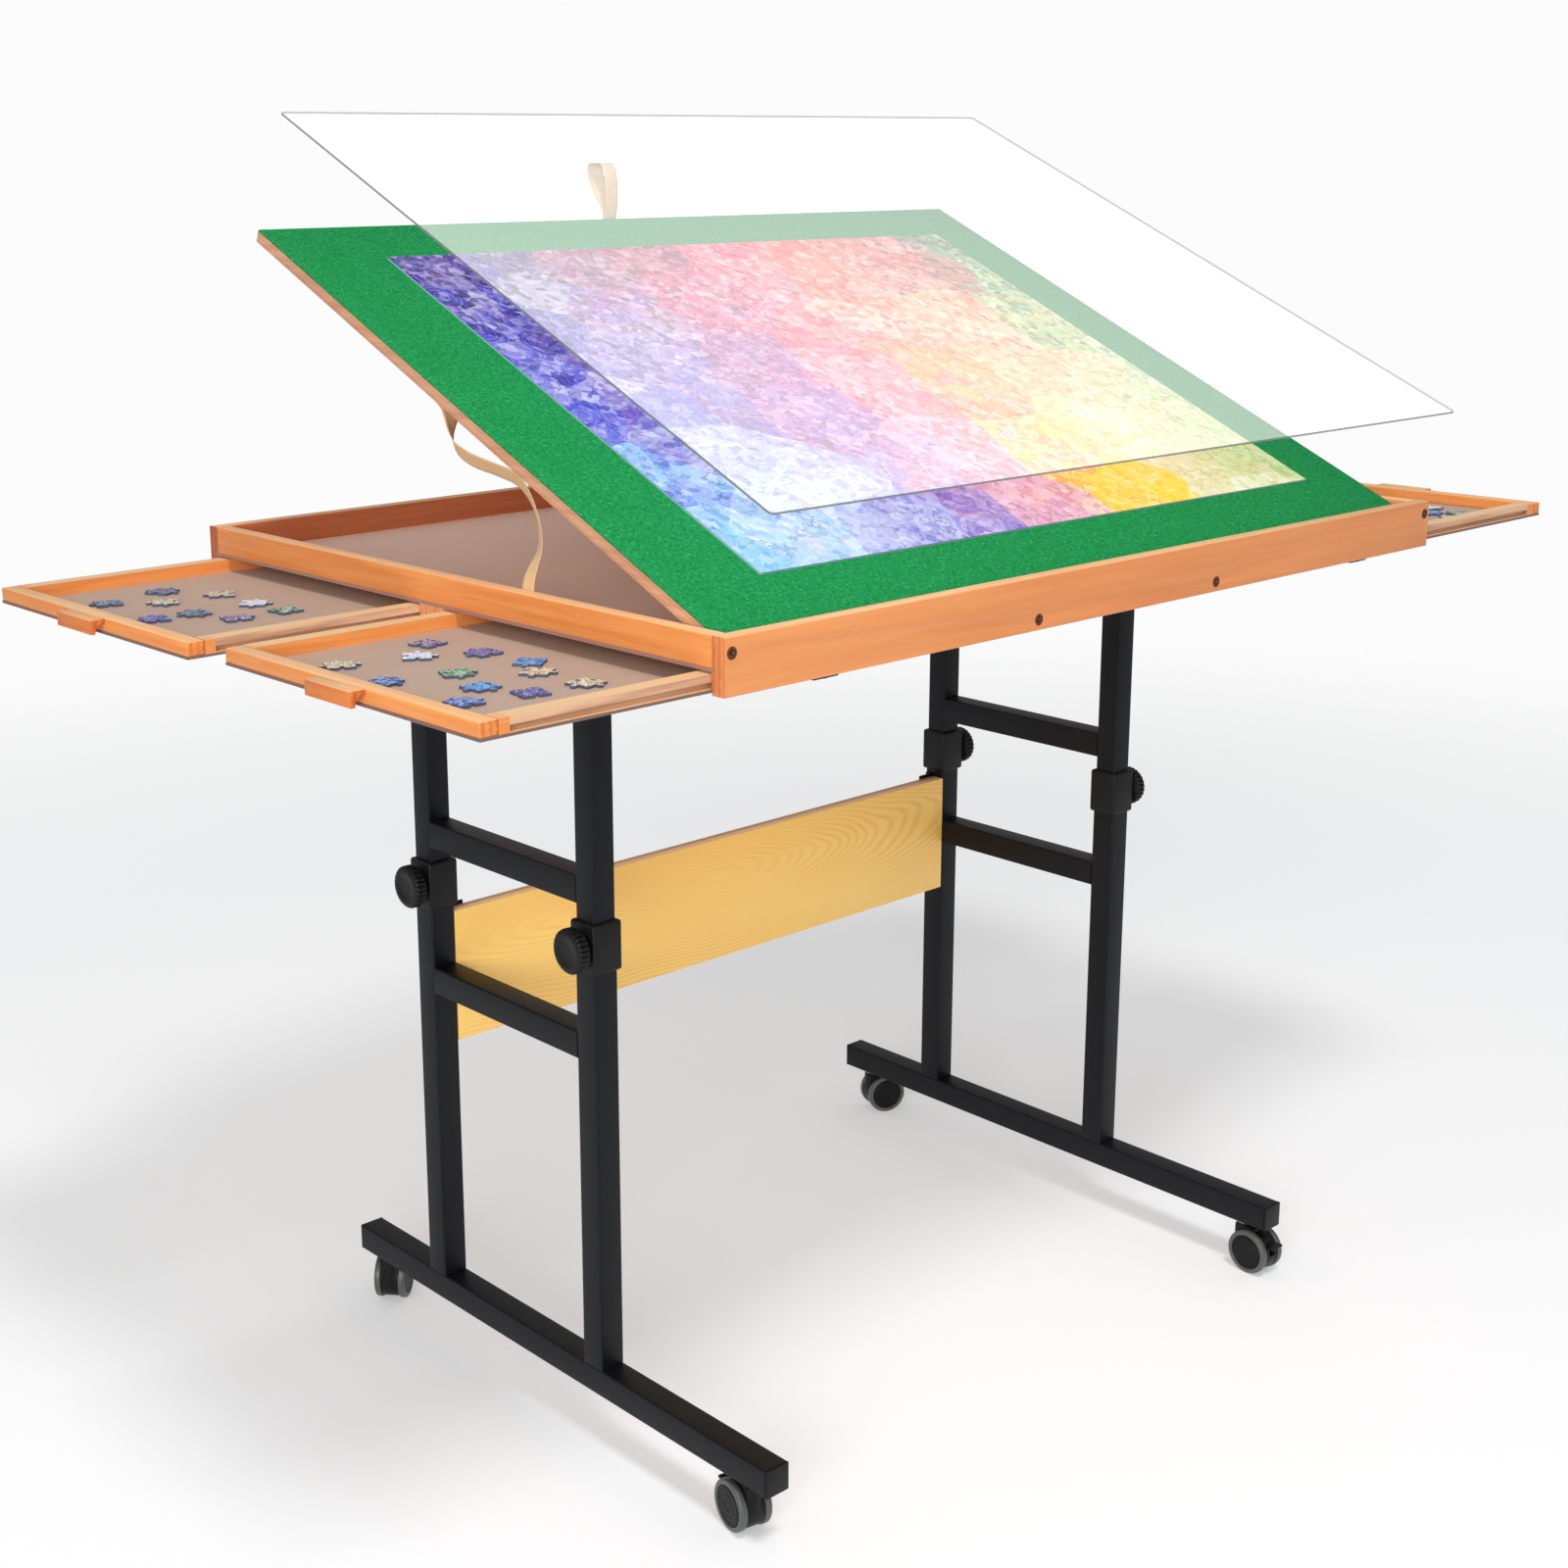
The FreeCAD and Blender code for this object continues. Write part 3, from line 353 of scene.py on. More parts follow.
def satin_ribbon(name, low, high):
    """Woven satin; the weave follows the ribbon by its UV map."""
    finish = Finish(name, Sheen_Weight=0.2, Sheen_Roughness=0.35)
    uv = finish.node("ShaderNodeTexCoord", {}, []).other("UV")
    across, along = finish.axes(uv)[:2]
    threads = (along * 5200.0).maths("SINE") * 0.5 + 0.5
    cords = (across * 4200.0).maths("SINE") * 0.5 + 0.5
    weave = threads * 0.65 + cords * 0.35
    tone = finish.noise(60.0, 2.0, place=uv)
    colour = finish.blend(weave * 0.7 + tone * 0.3, low, high)
    finish.set(Base_Color=colour, Roughness=0.4 + weave * 0.12)
    finish.bump(weave, 0.25, 0.0002)
    return finish


puzzle_low, puzzle_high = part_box("assembled_puzzle")
puzzle_left, puzzle_right = puzzle_low[0], puzzle_high[0]
puzzle_start = 72.4 * MM
puzzle_end = 583.5 * MM


def mosaic():
    """Ringed pebbles and dabs that sweep from violet and blue to orange and yellow."""
    finish = Finish("puzzle_print", Roughness=0.5, Specular_IOR_Level=0.3)
    place = on_board(finish)
    white = paint(255, 254, 252)
    warp = finish.noise(7.0, 3.0, place=place).other("Color")
    bent = finish.vector("ADD", place, finish.vector("MULTIPLY", warp, (0.035, 0.035, 0.0)))
    fields = finish.cells(10.8, bent, randomness=0.8)
    pebbles = finish.cells(34.0, bent)
    hue = finish.axes(pebbles.other("Color"))
    x, y, _ = finish.axes(bent)
    field_x, field_y, _ = finish.axes(fields.other("Position"))
    x, y = field_x * 0.75 + x * 0.25 - 0.0175, field_y * 0.75 + y * 0.25 - 0.0175
    right = (x - puzzle_left) / (puzzle_right - puzzle_left) + (hue[0] - 0.5) * 0.07
    back = (y - puzzle_start) / (puzzle_end - puzzle_start) + (hue[1] - 0.5) * 0.16
    rows = (
        ((158, 212, 236), (200, 220, 240), (146, 134, 216), (228, 176, 198), (250, 222, 52),
         (232, 226, 180), (206, 220, 156)),
        ((84, 82, 214), (132, 108, 206), (178, 84, 170), (228, 104, 136), (248, 172, 70),
         (234, 196, 140), (170, 200, 116)),
        ((52, 28, 176), (112, 70, 156), (176, 28, 108), (218, 36, 108), (240, 90, 44),
         (204, 100, 90), (96, 152, 92)),
    )
    front, middle, rear = (
        finish.ramp(right, [(i / 6, paint(*colour)) for i, colour in enumerate(row)], "EASE")
        for row in rows)
    colour = finish.blend(back.step(0.0, 0.5), front, middle)
    colour = finish.blend(back.step(0.5, 0.95), colour, rear)
    colour = finish.blend(hue[2].step(0.35, 1.0) * 0.18, colour, white)
    rings = (pebbles * 36.0).maths("SINE").step(0.35, 0.95)
    colour = finish.blend(rings * 0.13, colour, white)
    dabs = finish.axes(finish.cells(150.0, bent).other("Color"))
    colour = finish.blend(dabs[0].step(0.6, 0.9) * 0.24, colour, white)
    deep = finish.blend(1.0, colour, colour, "MULTIPLY")
    tone = finish.axes(fields.other("Color"))
    colour = finish.blend(tone[2].step(0.3, 1.0) * 0.5, colour, deep)
    colour = finish.blend(tone[1].step(0.65, 1.0) * 0.25, colour, white)
    colour = finish.blend(dabs[1].step(0.6, 0.7) * 0.6, colour, deep)
    shadow = finish.blend(1.0, deep, deep, "MULTIPLY")
    colour = finish.blend(dabs[2].step(0.82, 0.88) * back.step(0.1, 0.8) * 0.6, colour, shadow)
    strokes = finish.noise(420.0, 4.0, (1.0, 0.35, 1.0), 0.65, 1.5, bent)
    colour = finish.blend(strokes.step(0.48, 0.75) * 0.16, colour, white)
    ink = finish.ramp(right, [(0.0, paint(40, 60, 150)), (0.35, paint(96, 56, 150)),
                              (0.6, paint(206, 60, 70)), (1.0, paint(150, 140, 60))])
    vein = (finish.noise(46.0, 3.0, place=bent) - 0.5).maths("ABSOLUTE").step(0.018, 0.004)
    patch = finish.noise(17.0, 2.0, place=place).step(0.46, 0.6)
    colour = finish.blend(vein * patch * 0.55, colour, ink)
    finish.set(Base_Color=colour)
    finish.bump(strokes, 0.06, 0.0002)
    return finish


def loose_print(name, main, light, dark):
    """Print of a loose piece, washed light and dark."""
    finish = Finish(name, Roughness=0.45, Specular_IOR_Level=0.35)
    wash = finish.noise(210.0, 4.0, None, 0.7, 1.0)
    spots = finish.noise(420.0, 2.0, None, 0.5, 0.5)
    colour = finish.blend(wash.step(0.46, 0.58), paint(*main), paint(*light))
    colour = finish.blend(spots.step(0.5, 0.4) * 0.9, colour, paint(*dark))
    finish.set(Base_Color=colour)
    finish.bump(wash, 0.1, 0.0003)
    return finish


def cut_card(name, low, high):
    """Cut edge of puzzle card."""
    finish = Finish(name, Roughness=0.9)
    pulp = finish.noise(1300.0, 3.0)
    finish.set(Base_Color=finish.blend(pulp, paint(*low), paint(*high)))
    finish.bump(pulp, 0.2, 0.0003)
    return finish


def clear_sheet(name, veil, glow):
    """Clear plastic; its veil is how much of what lies behind it turns milky. The milky white is
    a painted reflection of the studio, and glow is painted light: the sheet emits white though it
    is no lamp.
    """
    finish = Finish(name, Base_Color=paint(253, 254, 254), Specular_IOR_Level=0.3,
                    Emission_Color=paint(255, 255, 255), Emission_Strength=glow)
    mottle = finish.noise(900.0, 2.0)
    finish.set(Alpha=veil * (0.94 + mottle.step(0.35, 0.7) * 0.12), Roughness=0.2 + mottle * 0.06)
    return finish


def sheet_edge():
    finish = Finish("sheet_edge", Roughness=0.35)
    mottle = finish.noise(260.0, 2.0)
    finish.set(Base_Color=finish.blend(mottle, paint(104, 110, 112), paint(134, 140, 142)),
               Alpha=0.78 + mottle * 0.2)
    return finish


orange, orange_dark, orange_painted_top_light = paint(236, 156, 88), paint(220, 132, 64), paint(244, 200, 146)
salmon, salmon_dark = paint(218, 166, 130), paint(196, 140, 106)
finishes = {
    # The front rail takes a darker copy of the rail wood's colours: painted shade against the
    # stronger light on its front face.
    "rail_x": varnished_wood("rail_wood", paint(214, 132, 76), paint(226, 148, 89), orange_painted_top_light,
                             0, 0.0, 0.45),
    # The back rail takes a deeper copy of the rail wood: painted shade, since the board shades
    # its inner face.
    "rail_back": varnished_wood("rail_wood_painted_shade", paint(170, 92, 56), paint(192, 112, 70),
                                orange_painted_top_light, 0, 0.2, 0.5),
    "rail_y": varnished_wood("rail_wood_across", orange_dark, orange, orange_painted_top_light, 1, 0.4),
    "drawer_x": varnished_wood("drawer_wood", orange_dark, orange, orange_painted_top_light, 0, 0.9),
    "drawer_y": varnished_wood("drawer_wood_across", orange_dark, orange, orange_painted_top_light, 1, 1.3),
    "grip_wood": varnished_wood("grip_wood", paint(204, 110, 48), paint(222, 136, 70),
                                orange_painted_top_light, 1, 1.9),
    "drawer_raw": varnished_wood("drawer_raw_side", paint(176, 128, 98), paint(226, 180, 144),
                                 paint(244, 206, 152), 0, 0.6),
    "board_wood": varnished_wood("board_wood", salmon_dark, salmon, None, 1, 2.1),
    "pale_wood": varnished_wood("pale_wood", paint(214, 166, 104), paint(238, 198, 138),
                                None, 0, 3.0),
    "pine": pine_veneer(),
    "divider_wood": varnished_wood("divider_wood", paint(214, 140, 88), paint(236, 172, 122),
                                   None, 0, 3.6),
    "thin_board": fine_board("thin_board", paint(190, 164, 147), paint(176, 149, 132),
                             paint(92, 60, 48)),
    # The deck is a lighter copy of the thin board's colours: painted light that lifts it out of
    # the board's shade.
    "deck_board": fine_board("deck_board", paint(246, 216, 199), paint(234, 200, 181),
                             paint(122, 60, 26)),
    # Dark ring round each screw head: painted shade of the countersink.
    "countersink_painted_shade": fine_board("countersink_painted_shade", paint(104, 58, 32), paint(128, 76, 42),
                             paint(84, 44, 22)),
    "felt": felt(),
    "steel": coated_steel(),
    "plastic": moulded_black("black_plastic", 0.48, 0.26),
    "gloss": moulded_black("black_gloss", 0.42, 0.2),
    "tyre": tyre_rubber(),
    "zinc": plated_steel(),
    "brass": plated_steel("screw_brass", (132, 90, 56)),
    "stay_satin": satin_ribbon("stay_satin", paint(204, 162, 108), paint(240, 208, 158)),
    # The pull loop is a darker copy of the stay satin: painted shade against the stronger light
    # on the loop.
    "loop_satin": satin_ribbon("loop_satin", paint(182, 154, 110), paint(220, 196, 154)),
    "puzzle": mosaic(),
    "card": cut_card("puzzle_card", (120, 160, 172), (160, 196, 206)),
    # Sides of the loose pieces are dark slate: painted shade that outlines each piece.
    "card_sides_painted_shade": cut_card("loose_card_painted_shade", (60, 68, 90), (92, 102, 124)),
    # The cover's upper face is white and glows though it is no lamp: painted light and reflection
    # that whiten the veil.
    "clear": clear_sheet("clear_sheet", 0.2, 1.0),
    "clear_back": clear_sheet("clear_sheet_back", 0.03, 0.0),
    "sheet_edge": sheet_edge(),
}
prints = {
    "sky": ((84, 150, 222), (150, 200, 240), (40, 76, 130)),
    "blue": ((70, 112, 196), (168, 196, 236), (30, 44, 96)),
    "violet": ((104, 106, 190), (166, 162, 214), (48, 40, 84)),
    "green": ((84, 158, 112), (208, 232, 214), (36, 70, 84)),
    "cream": ((216, 202, 168), (242, 236, 218), (120, 96, 72)),
    "white": ((232, 238, 246), (252, 252, 252), (150, 168, 196)),
    "slate": ((96, 112, 140), (168, 184, 204), (34, 40, 60)),
    "orchid": ((150, 116, 168), (196, 200, 216), (52, 44, 66)),
}
for name, colours in prints.items():
    finishes[name] = loose_print(f"print_{name}", *colours)


# ---- Shapes ----

def placed(name, data):
    """Object with this data, put into the scene."""
    made = bpy.data.objects.new(name, data)
    scene.collection.objects.link(made)
    return made


def lay_on_board(bm):
    """Turn what was made in the board's own axes to where the board stands."""
    bmesh.ops.transform(bm, matrix=board_to_row, verts=bm.verts)


def piece(name, bm, finish_names, body, replaced=(), sharp=35.0):
    """Make a bmesh into a piece of the object, riding on a body if one is given."""
    mesh = bpy.data.meshes.new(name)
    bm.to_mesh(mesh)
    bm.free()
    for finish_name in [finish_names] if isinstance(finish_names, str) else finish_names:
        mesh.materials.append(finishes[finish_name].material)
    mesh.shade_smooth()
    mesh.set_sharp_from_angle(angle=math.radians(sharp))
    made = placed(name, mesh)
    if replaced:
        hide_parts(*([replaced] if isinstance(replaced, str) else replaced))
    if body:
        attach(made, body)
    return made


def dress(node, finish_name):
    """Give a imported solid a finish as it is."""
    mesh = frame["nodes"][node].data
    mesh.materials.clear()
    mesh.materials.append(finishes[finish_name].material)


def block(bm, low, high, edge=0.0, segments=2, along=None, material=0):
    """Add a box between two corners, its edges rounded, or only those along an axis."""
    centre = (Vector(low) + Vector(high)) / 2
    size = Vector(high) - Vector(low)
    matrix = Matrix.Translation(centre) @ Matrix.Diagonal((*size, 1.0))
    made = bmesh.ops.create_cube(bm, size=1.0, matrix=matrix)["verts"]
    faces = {face for vert in made for face in vert.link_faces}
    for face in faces:
        face.material_index = material
    if edge:
        edges = {e for vert in made for e in vert.link_edges}
        if along is not None:
            edges = [e for e in edges
                     if abs((e.verts[0].co - e.verts[1].co)[along]) > size[along] * 0.9]
        bmesh.ops.bevel(bm, geom=list(edges), offset=edge, segments=segments, profile=0.5,
                        affect="EDGES", material=-1)


def outlined(bm, outline, reach, material=0):
    """Add the solid that a closed outline makes when pushed along reach."""
    face = bm.faces.new([bm.verts.new(point) for point in outline])
    face.material_index = material
    pushed = bmesh.ops.extrude_face_region(bm, geom=[face])["geom"]
    verts = [v for v in pushed if isinstance(v, bmesh.types.BMVert)]
    bmesh.ops.translate(bm, verts=verts, vec=reach)
    for vert in verts:
        for linked in vert.link_faces:
            linked.material_index = material


def rounded_copy(node, edge, segments=2, angle=30.0):
    """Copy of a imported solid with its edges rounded."""
    bm = bmesh.new()
    bm.from_mesh(frame["nodes"][node].data)
    bmesh.ops.remove_doubles(bm, verts=bm.verts, dist=2e-6)
    bmesh.ops.dissolve_limit(bm, angle_limit=math.radians(0.5), verts=bm.verts, edges=bm.edges)
    sharp = [e for e in bm.edges if e.is_manifold and e.calc_face_angle() > math.radians(angle)]
    bmesh.ops.bevel(bm, geom=sharp, offset=edge, segments=segments, profile=0.5,
                    affect="EDGES", material=-1, clamp_overlap=True)
    return bm


def added(bm, before):
    """Faces that weren't there before, and their verts."""
    faces = [face for face in bm.faces if face not in before]
    return faces, list({vert for face in faces for vert in face.verts})


def settle(bm, before, matrix, material=0):
    """Turn the added faces outwards and put them in their place."""
    faces, verts = added(bm, before)
    bmesh.ops.recalc_face_normals(bm, faces=faces)
    for face in faces:
        face.material_index = material
    bmesh.ops.transform(bm, matrix=matrix, verts=verts)


def drawn(bm, edges):
    """Extrude edges, and give the new verts and edges."""
    geom = bmesh.ops.extrude_edge_only(bm, edges=edges)["geom"]
    return ([item for item in geom if isinstance(item, bmesh.types.BMVert)],
            [item for item in geom if isinstance(item, bmesh.types.BMEdge)])


def lathe(bm, profile, steps, matrix, material=0):
    """Spin an open profile of (radius, along) points about the local Z axis."""
    verts = [bm.verts.new((radius, 0.0, along)) for radius, along in profile]
    edges = [bm.edges.new(pair) for pair in zip(verts, verts[1:])]
    before = set(bm.faces)
    bmesh.ops.spin(bm, geom=verts + edges, cent=(0, 0, 0), axis=(0, 0, 1), dvec=(0, 0, 0),
                   angle=math.tau, steps=steps, use_merge=True)
    bmesh.ops.remove_doubles(bm, verts=added(bm, before)[1], dist=1e-7)
    settle(bm, before, matrix, material)


def turned_to(centre, axis):
    """Matrix that puts the local Z axis along the given one, at the centre."""
    return Matrix.Translation(centre) @ Vector(axis).to_track_quat("Z", "Y").to_matrix().to_4x4()


# ---- Box and drawers ----

SIDES = {"left": -1, "right": 1}
ENDS = {"front": -1, "back": 1}
CORNERS = [f"{end}_{side_name}" for end in ENDS for side_name in SIDES]
HALF_DEPTH = 0.3412
LEG_X, LEG_Y = 0.3413, (-0.0709, 0.1587)
RAIL_SCREW, STRAP_SCREW = 0.0038, 0.0031
RAIL_SCREW_PLACES = ((-0.4384, 0.7606), (0.4384, 0.7606), (-0.115, 0.7383), (0.115, 0.7383))
STRAP_SCREW_Y, STRAP_SCREW_LEVEL = 0.3316, 0.72665

for node, finish_name in (("front_rail", "rail_x"), ("back_rail", "rail_back"),
                          ("left_rail", "rail_y"), ("right_rail", "rail_y")):
    piece(f"{node}_wood", rounded_copy(node, 0.0009), finish_name, "table", node)


def screw_head(bm, centre, axis, radius):
    """Countersunk screw head with a cross cut in it, facing along the axis."""
    rim = bmesh.ops.create_circle(bm, segments=24, radius=radius)["verts"]
    arm, half = radius * 0.62, radius * 0.17
    cross = [(half, half), (half, arm), (-half, arm), (-half, half), (-arm, half),
             (-arm, -half), (-half, -half), (-half, -arm), (half, -arm), (half, -half),
             (arm, -half), (arm, half)]
    inner = [bm.verts.new((x, y, 0)) for x, y in cross]
    lip = [bm.edges.new((a, b)) for a, b in zip(inner, inner[1:] + inner[:1])]
    rim_edges = list({e for v in rim for e in v.link_edges})
    before = set(bm.faces)
    bmesh.ops.triangle_fill(bm, edges=lip + rim_edges, use_beauty=True)
    low, floor = drawn(bm, lip)
    bmesh.ops.translate(bm, verts=low, vec=(0, 0, -radius * 0.45))
    bmesh.ops.contextual_create(bm, geom=floor)
    low, tip = drawn(bm, rim_edges)
    bmesh.ops.translate(bm, verts=low, vec=(0, 0, -radius * 0.6))
    bmesh.ops.scale(bm, verts=low, vec=(0.55, 0.55, 1.0))
    bmesh.ops.contextual_create(bm, geom=tip)
    settle(bm, before, turned_to(centre, axis))


bm = bmesh.new()
for x, z in RAIL_SCREW_PLACES:
    for side in (-1, 1):
        screw_head(bm, (x, side * (HALF_DEPTH + 0.00015), z), (0, side, 0), RAIL_SCREW)
        # Dark ring round the head: painted shade of the countersink.
        lathe(bm, [(RAIL_SCREW, 0.0), (0.0039, 0.0002), (0.0046, 0.0002), (0.0047, 0.0),
                   (RAIL_SCREW, 0.0)], 32,
              turned_to((x, side * HALF_DEPTH, z), (0, side, 0)), 1)
for side in (-1, 1):
    for y in (-STRAP_SCREW_Y, 0.0, STRAP_SCREW_Y):
        screw_head(bm, (side * LEG_X, y, STRAP_SCREW_LEVEL), (0, 0, -1), STRAP_SCREW)
piece("box_screws", bm, ["brass", "countersink_painted_shade"], "table", "table_screws")

for finish_name, nodes in (
        ("deck_board", ["deck_panel"]), ("divider_wood", ["drawer_dividers"]),
        ("pale_wood", ["drawer_runners", "prop_rack", "prop_brackets"]),
        ("board_wood", ["board_panel"]), ("steel", ["stretcher_brackets"]),
        ("zinc", ["board_hinges", "board_hinge_leaves", "prop_frame", "caster_stems",
                  "stretcher_screws"])):
    for node in nodes:
        dress(node, finish_name)

WALL, WALL_LOW, WALL_TOP = 0.015, 0.7337, 0.7445
SIDE_START = 0.024
GROOVE_LOW, GROOVE_TOP, GROOVE_DEEP = 0.7343, 0.7389, 0.0045
jigsaw_tab = ((0.0, 0.0), (0.30, -0.018), (0.415, -0.012), (0.44, 0.05), (0.39, 0.12),
              (0.40, 0.19), (0.5, 0.235), (0.60, 0.19), (0.61, 0.12), (0.56, 0.05),
              (0.585, -0.012), (0.70, -0.018))


def cut_line(start, end, bulge, shift=0.0):
    """Points of one jigsaw cut from start up to, but without, end."""
    along = end - start
    across = Vector((along.y, -along.x)) * bulge
    points = [start.copy()]
    for t, d in jigsaw_tab[1:]:
        points.append(start + along * (t + shift) + across * d)
    return points


def drawer_shapes(name):
    end, side_name = name.split("_")
    side, across = SIDES[side_name], ENDS[end]
    drawer = f"drawer_{name}"
    low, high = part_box(f"{drawer}_bottom")
    face = high[0] if side > 0 else -low[0]
    inner = low[0] if side > 0 else -high[0]
    y0, y1 = (low[1], high[1]) if across > 0 else (-high[1], -low[1])
    flip = Matrix.Diagonal((side, across, 1.0, 1.0))

    bm = bmesh.new()
    block(bm, (face - WALL, y0, WALL_LOW), (face, y1, WALL_TOP), 0.0012, 3, material=1)
    block(bm, (inner, y0 + WALL, WALL_LOW), (inner + WALL, y1 - WALL, WALL_TOP), 0.0008, 2,
          material=1)
    for outer, inward in ((y0, 1), (y1, -1)):
        wall = outer + inward * WALL
        groove = outer + inward * GROOVE_DEEP
        section = [(outer, WALL_LOW), (wall, WALL_LOW), (wall, WALL_TOP), (outer, WALL_TOP),
                   (outer, GROOVE_TOP), (groove, GROOVE_TOP), (groove, GROOVE_LOW),
                   (outer, GROOVE_LOW)]
        outlined(bm, [(inner, y, z) for y, z in section], (face - SIDE_START - inner, 0, 0))
        lows, highs = sorted((outer, wall))
        block(bm, (face - SIDE_START, lows, WALL_LOW), (face - WALL, highs, WALL_TOP))
        for side_face in bm.faces:
            middle = side_face.calc_center_median()
            if (middle.x < face - SIDE_START and abs(middle.y - wall) > 0.001
                    and lows - 1e-5 < middle.y < highs + 1e-5):
                side_face.material_index = 2
    bmesh.ops.transform(bm, matrix=flip, verts=bm.verts)
    bmesh.ops.recalc_face_normals(bm, faces=bm.faces)
    piece(f"{drawer}_walls", bm, ["drawer_x", "drawer_y", "drawer_raw"], drawer,
          f"{drawer}_frame")
    piece(f"{drawer}_grip", rounded_copy(f"{drawer}_pull", 0.0009, 2), "grip_wood", drawer,
          f"{drawer}_pull")
    dress(f"{drawer}_bottom", "thin_board")


for name in CORNERS:
    drawer_shapes(name)

loose_places = {
    "front_left": ((-590, -90, "cream"), (-597, -156, "blue"), (-532, -104, "white"),
                   (-500, -72, "orchid"), (-544, -169, "green"), (-489, -127, "violet"),
                   (-593, -245, "blue"), (-557, -215, "sky"), (-484, -176, "sky"),
                   (-500, -205, "cream"), (-543, -253, "violet"), (-497, -256, "cream")),
    "back_left": ((-540, 260, "slate"), (-599, 244, "slate"), (-562, 215, "cream"),
                  (-510, 213, "cream"), (-568, 156, "slate"), (-603, 157, "violet"),
                  (-554, 115, "orchid"), (-511, 159, "white"), (-508, 115, "green")),
    "front_right": ((596, -254, "sky"), (616, -279, "green"), (584, -290, "cream"),
                    (560, -240, "violet"), (628, -236, "white")),
    "back_right": ((600, 160, "blue"), (575, 205, "cream"), (540, 180, "green"),
                   (590, 240, "violet"), (520, 130, "slate")),
}
LOOSE_SIZE, LOOSE_THICK, LOOSE_LOW = 0.0212, 0.002, WALL_LOW + 0.0002
rng = random.Random(11)
for name, places in loose_places.items():
    bm = bmesh.new()
    used = sorted({colour for _, _, colour in places})
    for x, y, colour in places:
        corners = [Vector((i * LOOSE_SIZE, j * LOOSE_SIZE)) for i, j in
                   ((-0.5, -0.5), (0.5, -0.5), (0.5, 0.5), (-0.5, 0.5))]
        outline = []
        knobs = [rng.choice((-1, 1)) for _ in range(4)]
        for start, end, bulge in zip(corners, corners[1:] + corners[:1], knobs):
            outline += cut_line(start, end, bulge)
        turn = Matrix.Translation((x * MM, y * MM, 0)) @ Matrix.Rotation(
            rng.uniform(0, math.tau), 4, "Z")
        points = [turn @ Vector((p.x, p.y, LOOSE_LOW)) for p in outline]
        before = set(bm.faces)
        outlined(bm, points, (0, 0, LOOSE_THICK))
        for face in added(bm, before)[0]:
            if face.calc_center_median().z > LOOSE_LOW + LOOSE_THICK * 0.95:
                face.material_index = used.index(colour) + 1
    bmesh.ops.recalc_face_normals(bm, faces=bm.faces)
    piece(f"loose_pieces_{name}", bm, ["card_sides_painted_shade", *used], f"drawer_{name}", ())


# ---- Board, puzzle and cover ----

BOARD_HALF, BOARD_FRONT, BOARD_BACK = 0.4289, 0.004, 0.6465
BOARD_UNDER, PANEL_UNDER, PANEL_TOP, FELT_TOP = -0.00155, 0.00515, 0.00815, 0.00965
PUZZLE_TOP = 0.01165
FRAME_WIDTH = 0.030

bm = bmesh.new()
block(bm, (-BOARD_HALF, BOARD_FRONT, PANEL_TOP), (BOARD_HALF, BOARD_BACK, FELT_TOP), 0.0006, 2)
lay_on_board(bm)
piece("felt_surface", bm, "felt", "board", "felt_top")

bm = bmesh.new()
for low_x, high_x, low_s, high_s in (
        (-BOARD_HALF, BOARD_HALF, BOARD_FRONT, BOARD_FRONT + FRAME_WIDTH),
        (-BOARD_HALF, BOARD_HALF, BOARD_BACK - FRAME_WIDTH, BOARD_BACK),
        (-BOARD_HALF, -BOARD_HALF + FRAME_WIDTH, BOARD_FRONT + FRAME_WIDTH,
         BOARD_BACK - FRAME_WIDTH),
        (BOARD_HALF - FRAME_WIDTH, BOARD_HALF, BOARD_FRONT + FRAME_WIDTH,
         BOARD_BACK - FRAME_WIDTH)):
    block(bm, (low_x, low_s, BOARD_UNDER), (high_x, high_s, PANEL_UNDER), 0.0008, 2)
lay_on_board(bm)
piece("board_battens", bm, "board_wood", "board", "board_frame")


def jigsaw():
    """Assembled jigsaw: a card with every piece standing on it between its cuts."""
    columns, rows = 38, 27
    wide = (puzzle_right - puzzle_left) / columns
    long = (puzzle_end - puzzle_start) / rows
    rng = random.Random(3)

    def corner(i, j):
        inside_x, inside_y = 0 < i < columns, 0 < j < rows
        sway = Vector((rng.uniform(-1, 1) * inside_x, rng.uniform(-1, 1) * inside_y)) * 0.0009
        return Vector((puzzle_left + i * wide, puzzle_start + j * long)) + sway

    corners = {(i, j): corner(i, j) for i in range(columns + 1) for j in range(rows + 1)}
    lines = {}
    for (i, j), start in corners.items():
        for step_i, step_j, border in ((1, 0, j in (0, rows)), (0, 1, i in (0, columns))):
            end = corners.get((i + step_i, j + step_j))
            if end is None:
                continue
            points = [start] if border else cut_line(
                start, end, rng.choice((-1, 1)), rng.uniform(-0.04, 0.04))
            lines[i, j, step_i] = points + [end]
    bm = bmesh.new()
    for i in range(columns):
        for j in range(rows):
            outline = (lines[i, j, 1][:-1] + lines[i + 1, j, 0][:-1]
                       + lines[i, j + 1, 1][:0:-1] + lines[i, j, 0][:0:-1])
            bm.faces.new([bm.verts.new((p.x, p.y, PUZZLE_TOP)) for p in outline])
    tops = list(bm.faces)
    bmesh.ops.inset_individual(bm, faces=tops, thickness=0.00028)
    inner = {vert for face in tops for vert in face.verts}
    outer = [vert for vert in bm.verts if vert not in inner]
    bmesh.ops.translate(bm, verts=outer, vec=(0, 0, -0.0004))
    block(bm, (puzzle_left, puzzle_start, FELT_TOP), (puzzle_right, puzzle_end,
                                                      PUZZLE_TOP - 0.0004), material=1)
    lay_on_board(bm)
    return bm


piece("puzzle_pieces", jigsaw(), ["puzzle", "card"], "board", "assembled_puzzle",
      20.0)

